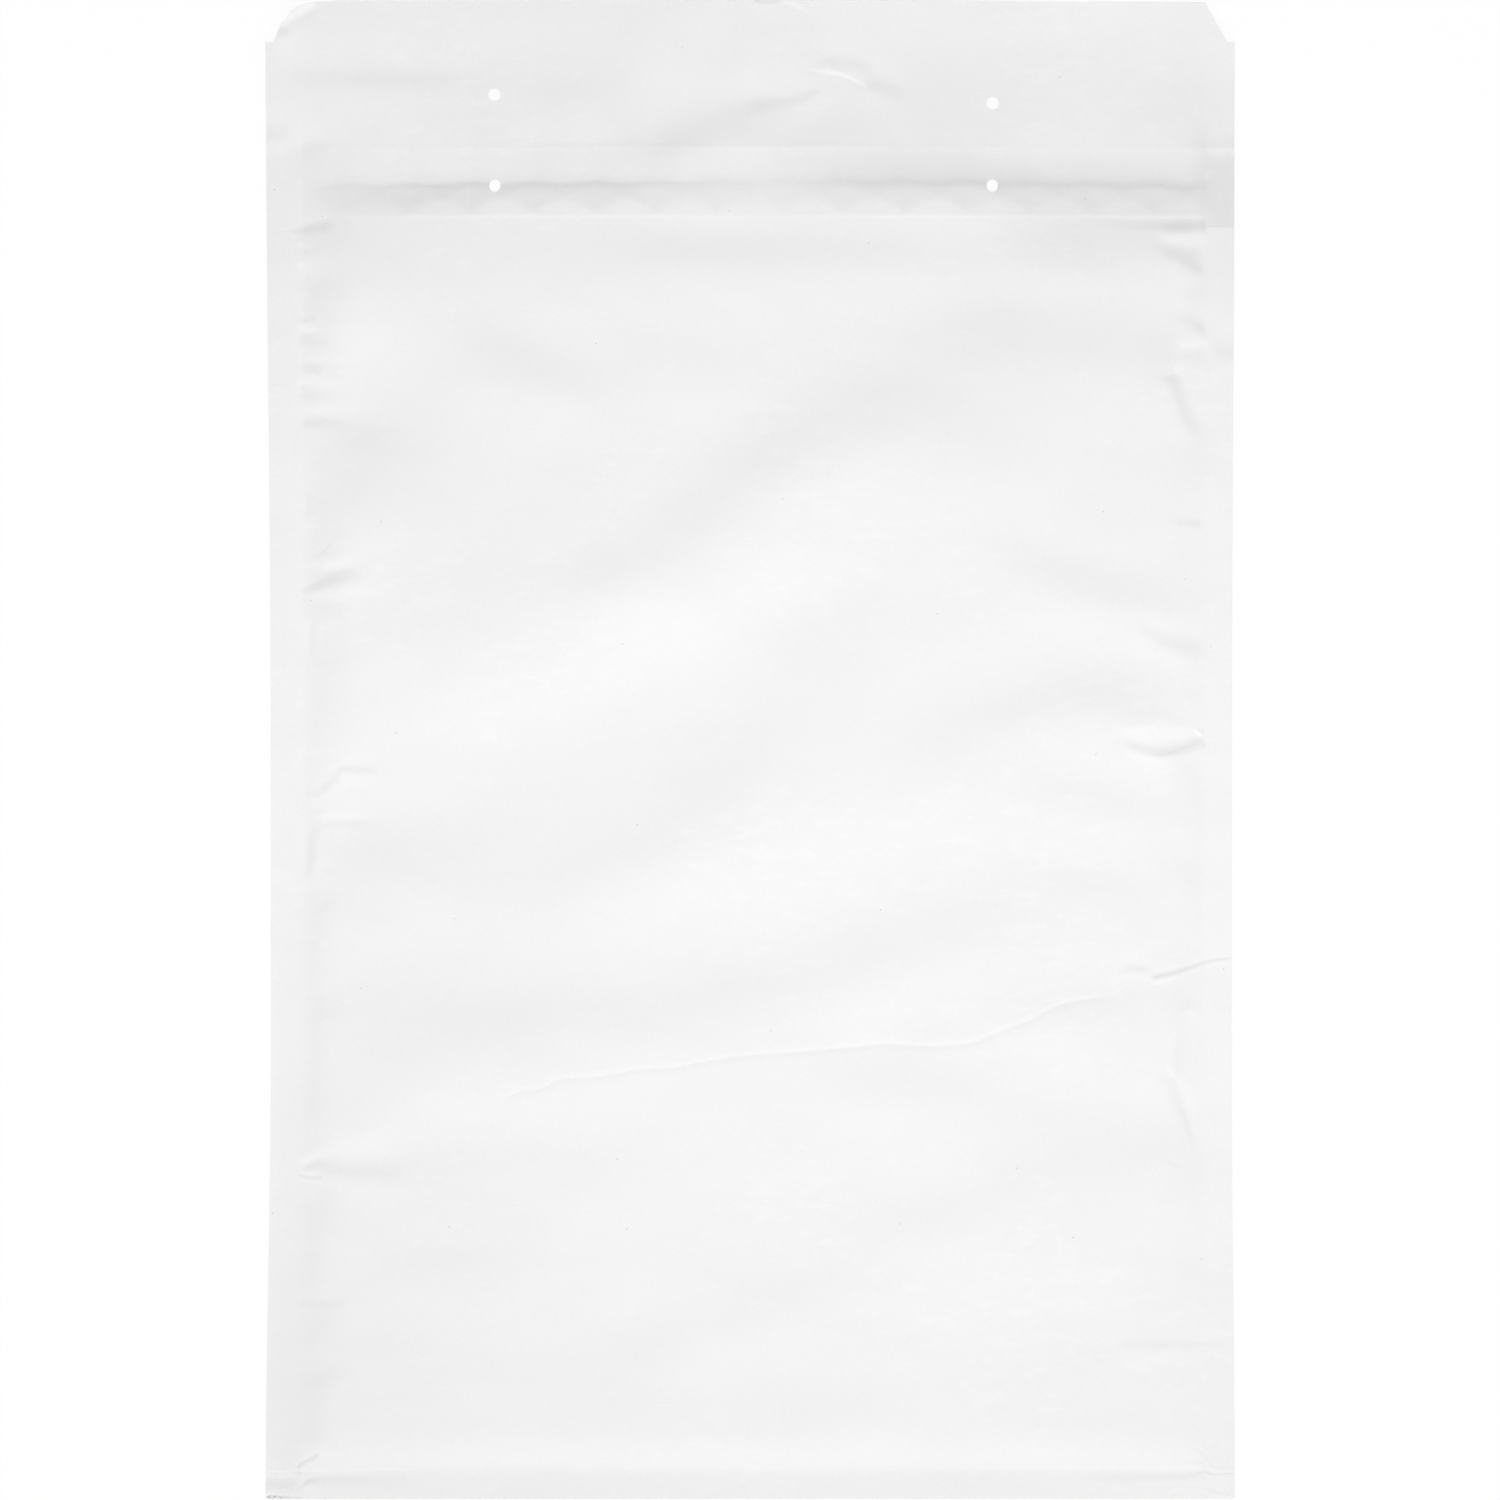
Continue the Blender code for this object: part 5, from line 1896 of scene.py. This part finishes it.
    def build(self) -> bpy.types.Object:
        """Make the film in place of the CAD node.

        Returns:
            The new piece.
        """
        outline = self.outline()
        bubbles = self.bubble_points()
        mesher = SheetMesher(self.cell, self.fold_cell)
        flat = mesher.cells(outline, self.needed)
        x, q = flat[:, 0], flat[:, 1]
        along = self.start + np.abs(q) - self.half_bend
        clear = np.hypot(*self.lattice.offset(x, along)) > self.lattice.radius * self.clear
        clear |= (x < bubbles[:, 0].min()) | (x > bubbles[:, 0].max())
        clear |= np.abs(q) < self.fold_share * self.half_bend
        dots = np.column_stack([bubbles, np.full(len(bubbles), BUBBLE_CELL)])
        faces = partial(self.place, outer=True), partial(self.place, outer=False)
        film = mesher.closed("bubble_film", outline, [], np.vstack([flat[clear], dots]), *faces)
        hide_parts("bubble_lining")
        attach(film, "root")
        return film

    def dress(self, film: bpy.types.Object) -> None:
        """Give the film its polyethylene."""
        film.data.materials.append(ClearPolyethylene().build())


@dataclass
class FlapStrip:
    """A long strip on the inner face of the flap.

    Attributes:
        form: The envelope that it is on.
        node: The CAD node that it stands for.
        slot: The material slot of that node. Not used.
        depth: Distance of its upper face below the flap's.
        thickness: Its own thickness.
        width: Its size along the flap.
        waver: How far its long edges wander.
        edge_inset: Distance of its upper edge from the flap's edge.
        end_inset: Distance of its ends from the envelope's sides.
        long_wave: Distance over which the slow wandering turns by one radian.
        short_wave: The same for the quick wandering, which is half as strong.
        edge_points: How many points a long edge has.
        end_points: How many points an end has.
        cell: Size of the mesh's cells.
    """

    form: EnvelopeForm
    node: str
    slot: str
    depth: float
    thickness: float
    width: float
    waver: float
    edge_inset: float = 0.0040
    end_inset: float = 0.0150
    long_wave: float = 0.017
    short_wave: float = 0.0061
    edge_points: int = 146
    end_points: int = 12
    cell: float = 0.004

    def face(self, down: float) -> Place:
        """Make the function that places one face of the strip.

        Args:
            down: Distance of the face below the flap's lower side.

        Returns:
            A function from flat places to points.
        """

        def place(x: Array, v: Array) -> Array:
            """Points of the face for flat places."""
            z = self.form.front_height(x, v) - self.form.paper / 2 - down
            return np.column_stack([x, v - self.form.length / 2, z])

        return place

    def needed(self, x: Array, _: Array) -> Array:
        """Largest cell allowed at each flat place."""
        return np.full(x.shape, self.cell)

    def outline(self) -> Array:
        """Draw the strip, with slightly uneven long edges.

        Returns:
            One row of (x, v) for each point.
        """
        half = self.form.width / 2 - self.end_inset
        high = self.form.length - self.edge_inset
        low = high - self.width
        columns = np.linspace(-half, half, self.edge_points)
        quick = 0.5 * np.sin(columns / self.short_wave + 1.0)
        wave = self.waver * (np.sin(columns / self.long_wave) + quick - 0.5)
        ends = np.linspace(low, high, self.end_points)[1:-1]
        lower = list(zip(columns, low + wave + self.waver))
        upper = list(zip(columns[::-1], high + wave[::-1] - self.waver))
        return np.array([*lower, *[(half, v) for v in ends], *upper, *[(-half, v) for v in ends[::-1]]])

    def build(self) -> bpy.types.Object:
        """Make the strip in place of the CAD node.

        Returns:
            The new piece.
        """
        mesher = SheetMesher(self.cell, self.cell)
        outline = self.outline()
        cells = mesher.cells(outline, self.needed)
        top, bottom = self.face(self.depth), self.face(self.depth + self.thickness)
        strip = mesher.closed(self.node + "_detail", outline, [], cells, top, bottom)
        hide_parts(self.node)
        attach(strip, "root")
        return strip

    def dress(self, strip: bpy.types.Object, finish: bpy.types.Material) -> None:
        """Give the strip its material."""
        strip.data.materials.append(finish)


@dataclass(frozen=True)
class Lamp:
    """A soft lamp.

    Attributes:
        name: Its name.
        place: Where it hangs.
        aim: The point that it faces.
        length: Its size along X.
        depth: Its size along its other side.
        share: Part of a full light that it gives to a level white surface at the point it faces.
        samples: How many places along it are counted for that.
    """

    name: str
    place: Point
    aim: Point
    length: float
    depth: float
    share: float
    samples: int = 32

    def build(self) -> None:
        """Hang the lamp. It shows neither to the camera nor in mirrored rays."""
        data = bpy.data.lights.new(self.name, "AREA")
        data.shape = "RECTANGLE"
        data.size = self.length
        data.size_y = self.depth
        way = Vector(self.aim) - Vector(self.place)
        places = [data.size * (n + 0.5) / self.samples - data.size / 2 for n in range(self.samples)]
        rays = [way - Vector((x, 0.0, 0.0)) for x in places]
        reached = sum(-ray.z * ray.dot(way) / way.length / ray.length_squared**2 for ray in rays) / len(rays)
        data.energy = self.share * math.pi**2 / reached
        made = in_scene(self.name, data)
        made.location = self.place
        made.rotation_mode = "QUATERNION"
        made.rotation_quaternion = way.to_track_quat("-Z", "Y")
        made.visible_camera = False
        made.visible_glossy = False


@dataclass
class Studio:
    """A pale floor, soft lamps and the camera straight above the envelope.

    Attributes:
        form: The envelope's form.
        frame_width: Width of the picture at the height of the seams.
        lens: Focal length in millimetres.
        sensor: Width of the sensor in millimetres.
        lamps: A far lamp past the bottom fold, a near one straight above and a small one at the lower right.
        ambient: Light of the room, where the room itself isn't seen.
        floor_size: Side of the floor.
        floor_drop: How far the floor lies below the table's level.
        floor_shade: Colour of the floor as light that it gives back.
        shadow_share: How much of a shadow shows on it.
    """

    form: EnvelopeForm
    frame_width: float = 0.49635
    lens: float = 400.0
    sensor: float = 36.0
    lamps: tuple[Lamp, ...] = (
        Lamp("key_lamp", (0.0, -4.6, 4.6), (0.0, 0.0, 0.0), 2.6, 2.6, 0.42),
        Lamp("top_lamp", (-0.07, 0.025, 0.55), (-0.07, 0.025, 0.0), 1.0, 0.2, 0.36),
        Lamp("side_lamp", (0.57, -0.39, 0.60), (0.15, -0.15, 0.0), 0.3, 0.3, 0.115),
    )
    ambient: float = 0.18
    floor_size: float = 8.0
    floor_drop: float = 0.0002
    floor_shade: float = 0.8
    shadow_share: float = 0.03

    def camera(self) -> bpy.types.Object:
        """Set up a long lens that looks straight down, with +Y up the picture.

        Returns:
            The camera.
        """
        data = bpy.data.cameras.new("camera")
        data.lens = self.lens
        data.sensor_width = self.sensor
        data.clip_end = 100.0
        made = in_scene("camera", data)
        made.location = (0.0, 0.0, self.form.rim_height + self.frame_width * self.lens / self.sensor)
        bpy.context.scene.camera = made
        return made

    def seen(self, tree: Tree) -> Socket:
        """Mark the rays that show a surface as it is: seen, mirrored or let through.

        Args:
            tree: The material's or the world's node tree.

        Returns:
            A value that is 1 for those rays and 0 for others.
        """
        path = add_node(tree, "ShaderNodeLightPath").outputs
        mirrored = add_node(tree, "ShaderNodeMath", {"operation": "MAXIMUM"}, {
            0: path["Is Camera Ray"], 1: path["Is Glossy Ray"],
        }).outputs[0]
        return add_node(tree, "ShaderNodeMath", {"operation": "MAXIMUM"}, {
            0: mirrored, 1: path["Is Transmission Ray"],
        }).outputs[0]

    def world(self) -> None:
        """Make a plain pale room: white where it is seen, and softer as light."""
        world = bpy.data.worlds.new("studio")
        bpy.context.scene.world = world
        world.use_nodes = True
        tree = world.node_tree
        tree.nodes.clear()
        strength = add_node(tree, "ShaderNodeMapRange", inputs={
            "Value": self.seen(tree), "To Min": self.ambient, "To Max": 1.0,
        }).outputs["Result"]
        background = add_node(tree, "ShaderNodeBackground", inputs={
            "Color": (1.0, 1.0, 1.0, 1.0), "Strength": strength,
        })
        add_node(tree, "ShaderNodeOutputWorld", inputs={"Surface": background.outputs[0]})

    def floor(self) -> bpy.types.Object:
        """Lay a level white sheet under the envelope that keeps a faint shadow.

        Returns:
            The floor.
        """
        half = self.floor_size / 2
        mesh = bpy.data.meshes.new("floor")
        corners = [(-half, -half, 0), (half, -half, 0), (half, half, 0), (-half, half, 0)]
        mesh.from_pydata(corners, [], [(0, 1, 2, 3)])
        floor = in_scene("floor", mesh)
        floor.location.z = -self.floor_drop
        material, tree = new_material("white_floor")
        white = add_node(tree, "ShaderNodeEmission", inputs={"Strength": 1.0}).outputs[0]
        lit = add_node(tree, "ShaderNodeBsdfDiffuse", inputs={"Color": (1.0, 1.0, 1.0, 1.0)}).outputs[0]
        shown = add_node(tree, "ShaderNodeMixShader", inputs={
            0: self.shadow_share, 1: white, 2: lit,
        }).outputs[0]
        grey = (self.floor_shade, self.floor_shade, self.floor_shade, 1.0)
        matt = add_node(tree, "ShaderNodeBsdfDiffuse", inputs={"Color": grey}).outputs[0]
        mixed = add_node(tree, "ShaderNodeMixShader", inputs={
            0: self.seen(tree), 1: matt, 2: shown,
        }).outputs[0]
        add_node(tree, "ShaderNodeOutputMaterial", inputs={"Surface": mixed})
        mesh.materials.append(material)
        return floor

    def build(self) -> None:
        """Set up the camera, lamps, world and floor."""
        self.camera()
        for lamp in self.lamps:
            lamp.build()
        self.world()
        self.floor()
        bpy.context.scene.view_settings.view_transform = "Standard"


def main() -> None:
    """Build the envelope's pieces and the studio round them."""
    logging.basicConfig(level=logging.INFO, format="%(name)s: %(message)s")
    form = EnvelopeForm()
    Studio(form).build()
    paper = PaperSheet(form)
    sheet = paper.build()
    paper.dress(sheet)
    LOG.info("%s: %d faces", sheet.name, len(sheet.data.polygons))
    lining = BubbleLining(form, paper)
    film = lining.build()
    lining.dress(film)
    LOG.info("%s: %d faces", film.name, len(film.data.polygons))
    glue = FlapStrip(form, "adhesive_strip", "adhesive", 0.00003, 0.00015, 0.0150, 0.00025)
    liner = FlapStrip(form, "release_liner", "liner_paper", 0.00020, 0.00010, 0.0200, 0.00008)
    for strip, finish in ((glue, HotMelt().build()), (liner, SiliconisedGlassine().build())):
        made = strip.build()
        strip.dress(made, finish)
        LOG.info("%s: %d faces", made.name, len(made.data.polygons))


if __name__ == "__main__":
    main()
